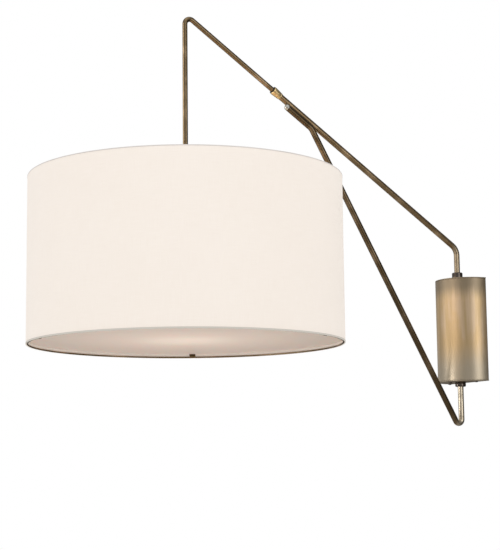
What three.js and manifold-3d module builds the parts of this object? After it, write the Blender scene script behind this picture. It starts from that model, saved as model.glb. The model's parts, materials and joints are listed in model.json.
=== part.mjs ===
// Swing arm wall sconce: a half-round wall housing, a gate-like arm of two bent tubes that swings about a
// vertical axis, a telescoping rod held by a lock collar, and a large drum shade hanging from the rod's end.
//
// Millimetres, +Z up. The origin is the middle of the housing's flat back, on the wall. The wall is the
// plane y = 0, the room is on the -Y side, and at rest the arm stands straight out along -Y.
// "Reach" is a distance from the swing axis along -Y, "run" a distance along the sloping upper tube.

import * as THREE from 'three';
import { mergeVertices } from 'three/addons/utils/BufferGeometryUtils.js';
import Module from 'manifold-3d';

// ---------------------------------------------------------------- driving dimensions

const GAP = 0.3; // clearance between pieces that touch
const TURN_CLEARANCE = 0.3; // radial clearance of pieces that turn or slide in each other

// wall housing
const HOUSING_RADIUS = 63.5;
const HOUSING_HEIGHT = 216;
const HOUSING_AXIS_FROM_WALL = 4.5;
const PIVOT_FROM_WALL = 25.5;
const SHELL_WALL = 1.2;
const SHELL_LIP = 11; // back lips of the shell, lying on the wall
const DISC_THICKNESS = 2;
const BRACKET_THICKNESS = 2.5;
const BRACKET_SIDE_SPACE = 10.3; // between the bracket's web and each back lip
const CABLE_HOLE_RADIUS = 14;
const CABLE_HOLE_Z = 21;
const WALL_SCREW_SPACING = 89; // ears of a round wall box
const WALL_SCREW_RADIUS = 2.4;
const DISC_SCREW_SHANK = 1.7;
const DISC_SCREW_HEAD = 3.3;
const DISC_SCREW_HEAD_HEIGHT = 2.4;
const DISC_SCREW_LENGTH = 8;
const DISC_SCREW_EDGE = 16.5; // from the housing's outer edge to the screw's axis
const DISC_SCREW_ANGLE = 72; // degrees either side of the front screw
const SCREW_SLOT_WIDTH = 0.8;
const SCREW_SLOT_DEPTH = 1;
const GROUND_SCREW_X = 30;
const GROUND_SCREW_Z = 34;

// terminal block
const BLOCK_WIDTH = 36;
const BLOCK_DEPTH = 15;
const BLOCK_HEIGHT = 16;
const BLOCK_Z = -22;
const TERMINAL_PITCH = 10;
const TERMINAL_SCREW_RADIUS = 2;
const TERMINAL_SCREW_LENGTH = 4;
const TERMINAL_SCREW_SUNK = 2; // screw head below the block's face
const WIRE_WAY = 4; // square ways for the wires, behind the screws

// pivot bearings
const BUSH_WALL = 2.4; // wall of the bush that passes through the disc
const COLLAR_RIM = 2.45; // the collar stands this far outside its bush
const UPPER_COLLAR_HEIGHT = 15.5;
const LOWER_COLLAR_HEIGHT = 9;
const COLLAR_CHAMFER = 1.4;
const BUSH_BELOW_FLANGE = 9;
const LOCKNUT_HEIGHT = 5;
const LOCKNUT_WALL = 3.15; // from the nut's hole to its flats
const THRUST_WASHER_THICKNESS = 1.5;
const RETAINER_WALL = 3.35;
const RETAINER_THICKNESS = 3;
const STEM_END_MARGIN = 9; // stem beyond its retainer or stop lug
const SWING_LIMIT = 60; // degrees to each side
const STOP_PIN_RADIUS = 2.5;
const STOP_PIN_SPACE = 2.07; // between a stop pin and the locknut's corners
const STOP_PIN_LENGTH = 16;
const STOP_TOOTH_HALF_ANGLE = 12;
const STOP_LUG_HEIGHT = 7;

// tubes: the rod slides in the upper tube, and the brace is of the same tube
const ROD_RADIUS = 5;
const ROD_WALL = 1.1;
const ROD_SLIDE_CLEARANCE = 0.3;
const TUBE_WALL = 0.75;

// swinging arm
const UPPER_TUBE_SLOPE = 32.9; // degrees above level
const UPPER_TUBE_HEIGHT = 66.2; // where its straight line meets the swing axis, above the housing
const UPPER_STEM_BEND = 25;
const BRACE_SLOPE = 59.2;
const BRACE_DEPTH = 106.5; // where its straight line meets the swing axis, below the housing
const HAIRPIN_INSIDE_BEND = 1.95; // bend radius on the inside of the hairpin
const BRACE_TOP_BEND = 18;
const BRACE_PARALLEL_LENGTH = 61; // where the brace lies along the upper tube
const TUBE_PAST_BRACE = 29; // the upper tube goes on this far past the brace's end
const BRAZE_SPACE = 0.9; // between the two tubes where they lie side by side
const BRACE_SIDE_ANGLE = 26; // degrees from straight below the upper tube, round towards its +X side
const BRAZE_LENGTH = 50;
const BRAZE_WIDTH = 3.6;
const END_CAP_CROWN = 8.3;
const END_CAP_BAND = 2.2; // straight part of the crown
const END_CAP_DEPTH = 8;
const GROMMET_WALL = 1.2;
const GROMMET_RIM = 1.3;
const GROMMET_DEPTH = 6;

// lock collar
const LOCK_COLLAR_LENGTH = 20;
const LOCK_COLLAR_ON_TUBE = 4;
const LOCK_COLLAR_BACK_WALL = 0.65;
const LOCK_COLLAR_FRONT_WALL = 1.95;
const LOCK_COLLAR_LIP = 2.2;
const LOCK_COLLAR_BACK_ROLL = 1.5; // plain band at the collar's thin end
const LOCK_COLLAR_CHAMFER = 0.5;
const LOCK_COLLAR_MOUTH = 1.2; // the mouth opens this much wider at the front face
const COLLET_LENGTH = 7;
const LOCK_RING_THICKNESS = 1.4;
const LOCK_RING_STEP = 0.7; // the ring is this much smaller than the collar's front

// telescoping rod
const SHADE_FROM_BRACE = 62.5; // brace's centre line to the shade's wall, level with its top rim
const ELBOW_BEND = 11;
const EXTENSION_OUT = 150;
const ROD_LEFT_IN_TUBE = 60; // rod still inside the tube when fully drawn out

// shade
const SHADE_RADIUS = 300;
const SHADE_HEIGHT = 318;
const SHADE_BOTTOM = -54; // height of the bottom rim
const SHADE_SKIN = 1.2; // cloth laminated on its backing
const RING_WIRE = 1.6;
const SPIDER_WIRE = 2.2;
const SPIDER_DROP = 26; // hub below the top ring
const HUB_RIM = 4; // washer past the corners of its nuts
const HUB_THICKNESS = 3;
const SPOKE_LAP = 3; // length of each spoke welded into the hub's edge
const HUB_NUT_HEIGHT = 6;
const HUB_NUT_WALL = 4.2;
const DIFFUSER_THICKNESS = 3;
const DIFFUSER_RECESS = 7.5;
const DIFFUSER_EDGE_PLAY = 1.5;
const CLIP_COUNT = 3;
const CLIP_WIDTH = 12;
const CLIP_THICKNESS = 1;
const CLIP_TONGUE = 14;
const CLIP_HOOK = 0.4; // the hook is this much thicker than the tongue

// lamp cluster
const CLUSTER_RADIUS = 24;
const CLUSTER_HEIGHT = 36;
const CLUSTER_WALL = 2;
const CLUSTER_CHAMFER = 3;
const CLUSTER_DROP = 20; // cluster top below the hub
const CLUSTER_CAP_HEIGHT = 5;
const LAMP_AXIS_DROP = 10; // where the lamps' axes meet, below the cluster's top
const LAMP_COUNT = 3;
const LAMP_TILT = 30; // degrees below level
const HOLDER_RADIUS = 17;
const HOLDER_DEPTH = 30; // depth of the holder's cup
const HOLDER_WALL = 2.2;
const HOLDER_FLOOR = 8;
const HOLDER_SHOULDER = 6;
const NIPPLE_RADIUS = 4.5;
const NIPPLE_INSIDE = 1; // nipple past the cluster's wall
const LAMP_CAP_RADIUS = 12.6;
const LAMP_CAP_LENGTH = 24;
const LAMP_CAP_TAPER = 6;
const LAMP_CAP_SPACE = 2; // between the holder's floor and the lamp's contact
const GLOBE_RADIUS = 30;
const GLOBE_LENGTH = 82;
const GLOBE_NECK_LENGTH = 14;
const GLOBE_NECK_FLARE = 2;

// ---------------------------------------------------------------- derived places

const rad = THREE.MathUtils.degToRad;
const housingTop = HOUSING_HEIGHT / 2;
const housingBottom = -HOUSING_HEIGHT / 2;
const flangeTop = housingTop - DISC_THICKNESS - GAP;
const flangeBottom = housingBottom + DISC_THICKNESS + GAP;
const tubeRadius = ROD_RADIUS + ROD_SLIDE_CLEARANCE + TUBE_WALL;
const bushRadius = tubeRadius + TURN_CLEARANCE + BUSH_WALL;
const bushLength = GAP + DISC_THICKNESS + GAP + BRACKET_THICKNESS + BUSH_BELOW_FLANGE;
const upperBushEnd = housingTop + GAP - bushLength;
const lowerBushEnd = housingBottom - GAP + bushLength;
const discScrewCircle = HOUSING_RADIUS - DISC_SCREW_EDGE;
const shellCorner = Math.sqrt(HOUSING_RADIUS ** 2 - HOUSING_AXIS_FROM_WALL ** 2); // half the back's width
const locknutFlats = 2 * (bushRadius + GAP + LOCKNUT_WALL);
const stopPinCircle = locknutFlats / Math.sqrt(3) + STOP_PIN_SPACE + STOP_PIN_RADIUS;
const retainerRadius = tubeRadius + GAP + RETAINER_WALL;

const slope = rad(UPPER_TUBE_SLOPE);
const braceSlope = rad(BRACE_SLOPE);
const upperLineHeight = housingTop + UPPER_TUBE_HEIGHT;
const braceLineHeight = housingBottom - BRACE_DEPTH;
const braceOffset = 2 * tubeRadius + BRAZE_SPACE;
const braceBelow = braceOffset * Math.cos(rad(BRACE_SIDE_ANGLE));
const braceSide = braceOffset * Math.sin(rad(BRACE_SIDE_ANGLE));

// The brace climbs until it meets the line that runs braceBelow under the upper tube and braceSide beside it.
const besideLineHeight = upperLineHeight - braceBelow / Math.cos(slope);
const braceTopReach = (besideLineHeight - braceLineHeight) / (Math.tan(braceSlope) - Math.tan(slope));
const braceTopHeight = besideLineHeight + braceTopReach * Math.tan(slope);
const braceTopRun = (braceTopReach - braceBelow * Math.sin(slope)) / Math.cos(slope);
const braceEndRun = braceTopRun + BRACE_TOP_BEND * Math.tan((braceSlope - slope) / 2) + BRACE_PARALLEL_LENGTH;
const tubeRun = braceEndRun + TUBE_PAST_BRACE; // from the swing axis to the tube's open end
const rodInnerEnd = tubeRun - ROD_LEFT_IN_TUBE - EXTENSION_OUT;

const shadeTop = SHADE_BOTTOM + SHADE_HEIGHT;
const braceReachAtShadeTop = (shadeTop - braceLineHeight) / Math.tan(braceSlope);
const shadeReach = braceReachAtShadeTop + SHADE_FROM_BRACE + SHADE_RADIUS;
const ringRadius = SHADE_RADIUS - SHADE_SKIN - GAP - RING_WIRE;
const topRingHeight = shadeTop - RING_WIRE - GAP;
const bottomRingHeight = SHADE_BOTTOM + RING_WIRE + GAP;
const hubTop = topRingHeight - SPIDER_DROP;
const hubBottom = hubTop - HUB_THICKNESS;
const hubNutFlats = 2 * (ROD_RADIUS + GAP + HUB_NUT_WALL);
const hubRadius = hubNutFlats / Math.sqrt(3) + HUB_RIM;
const clusterTop = hubBottom - CLUSTER_DROP;
const clusterBottom = clusterTop - CLUSTER_HEIGHT;
const rodLowerEnd = clusterBottom + HUB_NUT_HEIGHT;

// A point of the arm's plane, or beside it: reach from the swing axis, height, and distance to the +X side.
const armPoint = (reach, height, side = 0) => new THREE.Vector3(side, -PIVOT_FROM_WALL - reach, height);

// A point on the upper tube's line, or on a line next to it: run along it, offset above it and to its side.
const tubePoint = (run, above = 0, side = 0) => armPoint(
  run * Math.cos(slope) - above * Math.sin(slope),
  upperLineHeight + run * Math.sin(slope) + above * Math.cos(slope),
  side,
);

// ---------------------------------------------------------------- materials

const metal = (color, roughness) => new THREE.MeshStandardMaterial({ color, roughness, metalness: 1 });
const plain = (color, roughness) => new THREE.MeshStandardMaterial({ color, roughness, metalness: 0 });
const antiqueBrass = () => metal(0x7d6a48, 0.38);
const brushedBrass = () => metal(0x9a8562, 0.45);
const brightBrass = () => metal(0xcdb36f, 0.25);
const darkBronze = () => metal(0x3f362c, 0.25);
const silverBraze = () => metal(0xb3b2aa, 0.35);
const zincSteel = () => metal(0xa9abad, 0.4);
const blackRubber = () => plain(0x1b1a18, 0.7);
const nylon = () => plain(0xe8e4da, 0.5);
const linen = () => plain(0xf4ece4, 0.85);
const opalAcrylic = () => plain(0xf3ece2, 0.35);
const ceramic = () => plain(0xeeebe4, 0.3);
const opalGlass = () => plain(0xfbf6ee, 0.2);

// ---------------------------------------------------------------- solids

const wasm = await Module();
wasm.setup();

function toManifold(geometry) {
  const bare = geometry.clone();
  bare.deleteAttribute('normal');
  bare.deleteAttribute('uv');
  const merged = mergeVertices(bare, 1e-4);
  return new wasm.Manifold(new wasm.Mesh({
    numProp: 3,
    vertProperties: Float32Array.from(merged.attributes.position.array),
    triVerts: Uint32Array.from(merged.index.array),
  }));
}

function toGeometry(solid) {
  const mesh = solid.getMesh();
  const geometry = new THREE.BufferGeometry();
  geometry.setAttribute('position', new THREE.BufferAttribute(mesh.vertProperties, 3));
  geometry.setIndex(new THREE.BufferAttribute(mesh.triVerts, 1));
  geometry.computeVertexNormals();
  return geometry;
}

const cut = (geometry, ...tools) => toGeometry(
  tools.reduce((solid, tool) => solid.subtract(toManifold(tool)), toManifold(geometry)),
);
const join = (...pieces) => toGeometry(
  pieces.slice(1).reduce((solid, piece) => solid.add(toManifold(piece)), toManifold(pieces[0])),
);

// A solid of revolution about +Z from a closed outline of [radius, height] points, given anticlockwise.
function turned(outline, sides = 24) {
  const points = outline.map(([radius, height]) => new THREE.Vector2(radius, height));
  const closed = outline[0][0] > 0 || outline[outline.length - 1][0] > 0;
  if (closed) points.push(points[0].clone());
  return new THREE.LatheGeometry(points, sides).rotateX(Math.PI / 2);
}

// A ring or sleeve about +Z between two radii and two heights.
const sleeve = (inner, outer, low, high, sides) => turned(
  [[inner, low], [outer, low], [outer, high], [inner, high]],
  sides,
);

const rod = (radius, low, high, sides) => turned([[0, low], [radius, low], [radius, high], [0, high]], sides);

const block = (width, depth, height, x, y, z) => (
  new THREE.BoxGeometry(width, depth, height).translate(x, y, z)
);

function extruded(shape, low, high, curveSegments = 12) {
  const settings = { depth: high - low, bevelEnabled: false, curveSegments };
  return new THREE.ExtrudeGeometry(shape, settings).translate(0, 0, low);
}

const circle = (radius, x = 0, y = 0) => new THREE.Path().absarc(x, y, radius, 0, 2 * Math.PI, false);

// A nut about +Z: hexagon with a round hole and chamfered corners.
function hexNut(acrossFlats, hole, low, high) {
  const corner = acrossFlats / 2 / Math.cos(Math.PI / 6);
  const hexagon = new THREE.Shape(Array.from({ length: 6 }, (_, i) => (
    new THREE.Vector2(corner * Math.cos(i * Math.PI / 3), corner * Math.sin(i * Math.PI / 3))
  )));
  hexagon.holes.push(circle(hole));
  return extruded(hexagon, low, high, 10);
}

// A route of straight runs joined by arcs: corners are [point, bend radius], and every arc gets a station
// about every fifteen degrees. The route gives its stations to ExtrudeGeometry exactly where they are.
class BentRoute extends THREE.Curve {
  constructor(start, corners, end) {
    super();
    this.stations = [{ at: start, along: corners[0][0].clone().sub(start).normalize() }];
    corners.forEach(([corner, bend], i) => {
      const before = i === 0 ? start : corners[i - 1][0];
      const after = i === corners.length - 1 ? end : corners[i + 1][0];
      const incoming = corner.clone().sub(before).normalize();
      const outgoing = after.clone().sub(corner).normalize();
      const turn = incoming.angleTo(outgoing);
      const side = outgoing.clone().addScaledVector(incoming, -outgoing.dot(incoming)).normalize();
      const arcStart = corner.clone().addScaledVector(incoming, -bend * Math.tan(turn / 2));
      const steps = Math.max(3, Math.ceil(turn / rad(15)));
      for (let step = 0; step <= steps; step += 1) {
        const angle = (turn * step) / steps;
        this.stations.push({
          at: arcStart.clone()
            .addScaledVector(incoming, bend * Math.sin(angle))
            .addScaledVector(side, bend * (1 - Math.cos(angle))),
          along: incoming.clone().multiplyScalar(Math.cos(angle)).addScaledVector(side, Math.sin(angle)),
        });
      }
    });
    this.stations.push({ at: end, along: end.clone().sub(corners[corners.length - 1][0]).normalize() });
  }

  get steps() {
    return this.stations.length - 1;
  }

  getPointAt(u) {
    return this.stations[Math.round(u * this.steps)].at.clone();
  }

  getTangentAt(u) {
    return this.stations[Math.round(u * this.steps)].along.clone();
  }

  getPoint(u) {
    return this.getPointAt(u);
  }

  getTangent(u) {
    return this.getTangentAt(u);
  }
}

// A tube of round section along a bent route, square to it at both ends.
function bentTube(route, radius, wall, sides = 16) {
  const ring = (r, clockwise) => Array.from({ length: sides }, (_, i) => {
    const angle = ((clockwise ? -i : i) * 2 * Math.PI) / sides;
    return new THREE.Vector2(r * Math.cos(angle), r * Math.sin(angle));
  });
  const section = new THREE.Shape(ring(radius, false));
  section.holes.push(new THREE.Path(ring(radius - wall, true)));
  return new THREE.ExtrudeGeometry(section, { steps: route.steps, extrudePath: route, bevelEnabled: false });
}

// ---------------------------------------------------------------- scene graph

const sconce = new THREE.Group();

function add(name, geometry, material, parent = sconce) {
  const mesh = new THREE.Mesh(geometry, material);
  mesh.name = name;
  parent.add(mesh);
  return mesh;
}

// Groups: one on the swing axis, one lying along the upper tube with +Z outwards, one on the shade's axis.
const onPivot = new THREE.Group();
onPivot.position.copy(armPoint(0, 0));
const onTube = new THREE.Group();
onTube.position.copy(tubePoint(0));
onTube.rotation.x = Math.PI / 2 - slope;
const onShade = new THREE.Group();
onShade.position.copy(armPoint(shadeReach, 0));
sconce.add(onPivot, onTube, onShade);

// ---------------------------------------------------------------- wall housing

// Half-round outline seen from above: an arc in front, closed by the wall plane.
function halfRound(radius, back = 0) {
  const halfAngle = Math.acos((HOUSING_AXIS_FROM_WALL - back) / radius);
  const shape = new THREE.Shape();
  shape.absarc(0, -HOUSING_AXIS_FROM_WALL, radius, Math.PI / 2 + halfAngle, 2.5 * Math.PI - halfAngle, false);
  shape.closePath();
  return shape;
}

const discScrewPlaces = [0, DISC_SCREW_ANGLE, -DISC_SCREW_ANGLE].map((degrees) => new THREE.Vector2(
  discScrewCircle * Math.sin(rad(degrees)),
  -HOUSING_AXIS_FROM_WALL - discScrewCircle * Math.cos(rad(degrees)),
));

function housingShell() {
  const inner = HOUSING_RADIUS - SHELL_WALL;
  const outerHalf = Math.acos(HOUSING_AXIS_FROM_WALL / HOUSING_RADIUS);
  const innerHalf = Math.acos((HOUSING_AXIS_FROM_WALL - SHELL_WALL) / inner);
  const shape = new THREE.Shape();
  shape.absarc(
    0, -HOUSING_AXIS_FROM_WALL, HOUSING_RADIUS,
    Math.PI / 2 + outerHalf, 2.5 * Math.PI - outerHalf, false,
  );
  shape.lineTo(shellCorner - SHELL_LIP, 0);
  shape.lineTo(shellCorner - SHELL_LIP, -SHELL_WALL);
  shape.absarc(0, -HOUSING_AXIS_FROM_WALL, inner, 2.5 * Math.PI - innerHalf, Math.PI / 2 + innerHalf, true);
  shape.lineTo(SHELL_LIP - shellCorner, -SHELL_WALL);
  shape.lineTo(SHELL_LIP - shellCorner, 0);
  shape.closePath();
  return extruded(shape, flangeBottom, flangeTop, 24);
}

function housingDisc(low, screwPlaces) {
  const shape = halfRound(HOUSING_RADIUS);
  shape.holes.push(circle(bushRadius + GAP, 0, -PIVOT_FROM_WALL));
  screwPlaces.forEach(({ x, y }) => shape.holes.push(circle(DISC_SCREW_SHANK + GAP, x, y)));
  return extruded(shape, low, low + DISC_THICKNESS, 12);
}

// One bent steel frame: a web on the wall and a half-round flange at each end that carries a bearing.
function wallBracket() {
  const flange = (low) => {
    const shape = halfRound(HOUSING_RADIUS - SHELL_WALL - 2 * GAP, SHELL_WALL + GAP);
    return extruded(shape, low, low + BRACKET_THICKNESS, 12);
  };
  const web = block(
    2 * (shellCorner - SHELL_LIP - BRACKET_SIDE_SPACE), BRACKET_THICKNESS, flangeTop - flangeBottom,
    0, -BRACKET_THICKNESS / 2, 0,
  );
  const bearingHoles = rod(bushRadius + GAP, -HOUSING_HEIGHT, HOUSING_HEIGHT, 24)
    .translate(0, -PIVOT_FROM_WALL, 0);
  const screwHoles = discScrewPlaces.map(({ x, y }) => (
    rod(DISC_SCREW_SHANK + GAP, -HOUSING_HEIGHT, 0, 12).translate(x, y, 0)
  ));
  const pinHoles = stopPinPlaces.map(({ x, y }) => (
    rod(STOP_PIN_RADIUS + GAP, 0, HOUSING_HEIGHT, 16).translate(x, y, 0)
  ));
  const throughWeb = (radius, x, z, sides) => (
    rod(radius, -HOUSING_RADIUS / 4, HOUSING_RADIUS / 4, sides).rotateX(Math.PI / 2).translate(x, 0, z)
  );
  return cut(
    join(web, flange(flangeBottom), flange(flangeTop - BRACKET_THICKNESS)),
    bearingHoles,
    ...screwHoles,
    ...pinHoles,
    throughWeb(CABLE_HOLE_RADIUS, 0, CABLE_HOLE_Z, 24),
    throughWeb(WALL_SCREW_RADIUS, 0, WALL_SCREW_SPACING / 2, 12),
    throughWeb(WALL_SCREW_RADIUS, 0, -WALL_SCREW_SPACING / 2, 12),
    throughWeb(DISC_SCREW_SHANK + GAP, GROUND_SCREW_X, GROUND_SCREW_Z, 12),
  );
}

const screwSlot = (radius, top) => (
  block(3 * radius, SCREW_SLOT_WIDTH, 2 * SCREW_SLOT_DEPTH, 0, 0, top)
);

// A slotted pan-head screw along +Z, head on top, its seat at z = 0.
function panScrew() {
  const screw = turned([
    [0, -DISC_SCREW_LENGTH], [DISC_SCREW_SHANK * 0.6, -DISC_SCREW_LENGTH],
    [DISC_SCREW_SHANK, -DISC_SCREW_LENGTH + DISC_SCREW_SHANK], [DISC_SCREW_SHANK, 0], [DISC_SCREW_HEAD, 0],
    [DISC_SCREW_HEAD, DISC_SCREW_HEAD_HEIGHT * 0.6], [DISC_SCREW_HEAD * 0.72, DISC_SCREW_HEAD_HEIGHT],
    [0, DISC_SCREW_HEAD_HEIGHT],
  ], 16);
  return cut(screw, screwSlot(DISC_SCREW_HEAD, DISC_SCREW_HEAD_HEIGHT));
}

const stopPinAngle = SWING_LIMIT + STOP_TOOTH_HALF_ANGLE
  + THREE.MathUtils.radToDeg(Math.asin((STOP_PIN_RADIUS + GAP) / stopPinCircle));
const stopPinPlaces = [1, -1].map((side) => new THREE.Vector2(
  side * stopPinCircle * Math.sin(rad(stopPinAngle)),
  -PIVOT_FROM_WALL - stopPinCircle * Math.cos(rad(stopPinAngle)),
));
add('wall_bracket', wallBracket(), zincSteel());
add('housing_shell', housingShell(), brushedBrass());
add('top_disc', housingDisc(housingTop - DISC_THICKNESS, []), brushedBrass());
add('bottom_disc', housingDisc(housingBottom, discScrewPlaces), brushedBrass());

// The upper collar and its locknut clamp the top disc; three screws hold the bottom one.
discScrewPlaces.forEach(({ x, y }, i) => {
  const screw = add(`bottom_disc_screw_${i + 1}`, panScrew(), darkBronze());
  screw.position.set(x, y, housingBottom - GAP);
  screw.rotation.x = Math.PI;
});

const groundScrew = add('ground_screw', panScrew(), brightBrass());
groundScrew.position.set(GROUND_SCREW_X, -BRACKET_THICKNESS - GAP, GROUND_SCREW_Z);
groundScrew.rotation.x = Math.PI / 2;

stopPinPlaces.forEach(({ x, y }, i) => {
  const pin = add(i === 0 ? 'stop_pin_right' : 'stop_pin_left', rod(
    STOP_PIN_RADIUS, flangeTop - GAP - STOP_PIN_LENGTH, flangeTop - GAP, 16,
  ), zincSteel());
  pin.position.set(x, y, 0);
});

// Terminal block on the bracket's web, with three clamping screws.
const terminalFront = -BRACKET_THICKNESS - GAP - BLOCK_DEPTH;
const terminalXs = [-TERMINAL_PITCH, 0, TERMINAL_PITCH];

function terminalBlock() {
  const body = block(
    BLOCK_WIDTH, BLOCK_DEPTH, BLOCK_HEIGHT,
    0, -BRACKET_THICKNESS - GAP - BLOCK_DEPTH / 2, BLOCK_Z,
  );
  const wellDepth = TERMINAL_SCREW_SUNK + TERMINAL_SCREW_LENGTH;
  const wells = terminalXs.map((x) => (
    rod(TERMINAL_SCREW_RADIUS + GAP, -1, wellDepth, 16)
      .rotateX(-Math.PI / 2)
      .translate(x, terminalFront, BLOCK_Z)
  ));
  const wireWays = terminalXs.map((x) => (
    block(WIRE_WAY, WIRE_WAY, 2 * BLOCK_HEIGHT, x, terminalFront + wellDepth + WIRE_WAY / 2, BLOCK_Z)
  ));
  return cut(body, ...wells, ...wireWays);
}

add('terminal_block', terminalBlock(), nylon());
terminalXs.forEach((x, i) => {
  const screw = add(`terminal_screw_${i + 1}`, cut(
    rod(TERMINAL_SCREW_RADIUS, 0, TERMINAL_SCREW_LENGTH - GAP, 16),
    screwSlot(TERMINAL_SCREW_RADIUS, TERMINAL_SCREW_LENGTH - GAP),
  ), brightBrass());
  screw.position.set(x, terminalFront + TERMINAL_SCREW_SUNK + TERMINAL_SCREW_LENGTH - GAP, BLOCK_Z);
  screw.rotation.x = Math.PI / 2;
});

// ---------------------------------------------------------------- pivot bearings

// A flanged bush with its round collar at z = 0 upwards and its bush below.
const collarBush = (height) => {
  const bore = tubeRadius + TURN_CLEARANCE;
  return turned([
    [bore, -bushLength], [bushRadius, -bushLength], [bushRadius, 0], [bushRadius + COLLAR_RIM, 0],
    [bushRadius + COLLAR_RIM, height - COLLAR_CHAMFER], [bushRadius + COLLAR_RIM - COLLAR_CHAMFER, height],
    [bore, height],
  ]);
};

const upperCollar = add('upper_collar', collarBush(UPPER_COLLAR_HEIGHT), darkBronze(), onPivot);
upperCollar.position.z = housingTop + GAP;
const lowerCollar = add('lower_collar', collarBush(LOWER_COLLAR_HEIGHT), darkBronze(), onPivot);
lowerCollar.position.z = housingBottom - GAP;
lowerCollar.rotation.x = Math.PI;

const upperNutTop = flangeTop - BRACKET_THICKNESS - GAP;
const lowerNutBottom = flangeBottom + BRACKET_THICKNESS + GAP;
add('upper_locknut', hexNut(
  locknutFlats, bushRadius + GAP, upperNutTop - LOCKNUT_HEIGHT, upperNutTop,
), zincSteel(), onPivot);
add('lower_locknut', hexNut(
  locknutFlats, bushRadius + GAP, lowerNutBottom, lowerNutBottom + LOCKNUT_HEIGHT,
), zincSteel(), onPivot);

const stemBore = tubeRadius + GAP;
const washerBottom = lowerBushEnd + GAP;
const washerTop = washerBottom + THRUST_WASHER_THICKNESS;
add('thrust_washer', sleeve(stemBore, retainerRadius, washerBottom, washerTop), nylon(), onPivot);

// ---------------------------------------------------------------- swinging arm

// The weight of the arm stands on the lower retainer; the stop lug keeps the upper stem from lifting out.
const lowerRetainerTop = washerTop + GAP + RETAINER_THICKNESS;
const lugTop = upperBushEnd - GAP;
const lugBottom = lugTop - STOP_LUG_HEIGHT;
const upperRetainerTop = lugBottom - GAP;
const upperStemEnd = upperRetainerTop - RETAINER_THICKNESS - STEM_END_MARGIN;
const lowerStemEnd = lowerRetainerTop + STEM_END_MARGIN;

add('lower_retainer', sleeve(
  stemBore, retainerRadius, washerTop + GAP, lowerRetainerTop,
), zincSteel(), onPivot);
add('upper_retainer', sleeve(
  stemBore, retainerRadius, upperRetainerTop - RETAINER_THICKNESS, upperRetainerTop,
), zincSteel(), onPivot);

// Ring with one tooth that meets a stop pin at each end of the swing.
function stopLug() {
  const half = rad(STOP_TOOTH_HALF_ANGLE);
  const tip = stopPinCircle + STOP_PIN_RADIUS;
  const tooth = new THREE.Shape([
    new THREE.Vector2(0, 0),
    new THREE.Vector2(-tip * Math.sin(half), -tip * Math.cos(half)),
    new THREE.Vector2(0, -tip),
    new THREE.Vector2(tip * Math.sin(half), -tip * Math.cos(half)),
  ]);
  return cut(
    join(rod(retainerRadius, lugBottom, lugTop), extruded(tooth, lugBottom, lugTop)),
    rod(stemBore, lugBottom - 1, lugTop + 1),
  );
}
add('stop_lug', stopLug(), zincSteel(), onPivot);

const upperRoute = new BentRoute(
  armPoint(0, upperStemEnd),
  [[armPoint(0, upperLineHeight), UPPER_STEM_BEND]],
  tubePoint(tubeRun),
);
add('upper_tube', bentTube(upperRoute, tubeRadius, TUBE_WALL), antiqueBrass());

const hairpinBend = tubeRadius + HAIRPIN_INSIDE_BEND;
const braceRoute = new BentRoute(
  armPoint(0, lowerStemEnd),
  [
    [armPoint(0, braceLineHeight), hairpinBend],
    [armPoint(braceTopReach, braceTopHeight, braceSide), BRACE_TOP_BEND],
  ],
  tubePoint(braceEndRun, -braceBelow, braceSide),
);
add('brace_tube', bentTube(braceRoute, tubeRadius, TUBE_WALL), antiqueBrass());

// Domed plug in the brace's open end.
const capBore = tubeRadius - TUBE_WALL - GAP;
const capDome = Array.from({ length: 5 }, (_, i) => [
  tubeRadius * Math.cos((i * Math.PI) / 10),
  END_CAP_BAND + (END_CAP_CROWN - END_CAP_BAND) * Math.sin((i * Math.PI) / 10),
]);
const endCap = add('brace_end_cap', turned([
  [0, -END_CAP_DEPTH], [capBore, -END_CAP_DEPTH], [capBore, GAP], [tubeRadius, GAP],
  ...capDome, [0, END_CAP_CROWN],
], 20), silverBraze(), onTube);
endCap.position.set(braceSide, -braceBelow, braceEndRun);

// Silver-brazed strip in the groove between the two parallel tubes, hollow on both faces.
function brazeStrip() {
  const groove = tubeRadius + GAP;
  const half = BRAZE_WIDTH / 2;
  const sweep = Math.asin(half / groove);
  const shape = new THREE.Shape();
  shape.absarc(0, 0, groove, -Math.PI / 2 + sweep, -Math.PI / 2 - sweep, true);
  shape.absarc(0, -braceOffset, groove, Math.PI / 2 + sweep, Math.PI / 2 - sweep, true);
  shape.closePath();
  return extruded(shape, braceEndRun - BRAZE_LENGTH, braceEndRun, 6);
}
add('braze_strip', brazeStrip(), silverBraze(), onTube).rotation.z = rad(BRACE_SIDE_ANGLE);

// Plastic bushings that save the lamp cable from the cut tube ends; each stands on its tube's end.
const grommet = (rim, bore) => turned([
  [bore - GAP - GROMMET_WALL, -GAP - GROMMET_RIM], [rim, -GAP - GROMMET_RIM], [rim, -GAP],
  [bore - GAP, -GAP], [bore - GAP, GROMMET_DEPTH], [bore - GAP - GROMMET_WALL, GROMMET_DEPTH],
], 20);
const stemGrommet = add('stem_grommet', grommet(tubeRadius, tubeRadius - TUBE_WALL), blackRubber(), onPivot);
stemGrommet.position.z = upperStemEnd;

// ---------------------------------------------------------------- lock collar

const collarBack = tubeRun - LOCK_COLLAR_ON_TUBE;
const collarFront = collarBack + LOCK_COLLAR_LENGTH;
const lipBack = collarFront - LOCK_COLLAR_LIP;
const rodBore = ROD_RADIUS + TURN_CLEARANCE;
const collarBore = tubeRadius + TURN_CLEARANCE;
const collarBackRadius = collarBore + LOCK_COLLAR_BACK_WALL;
const collarFrontRadius = collarBore + LOCK_COLLAR_FRONT_WALL;

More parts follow.
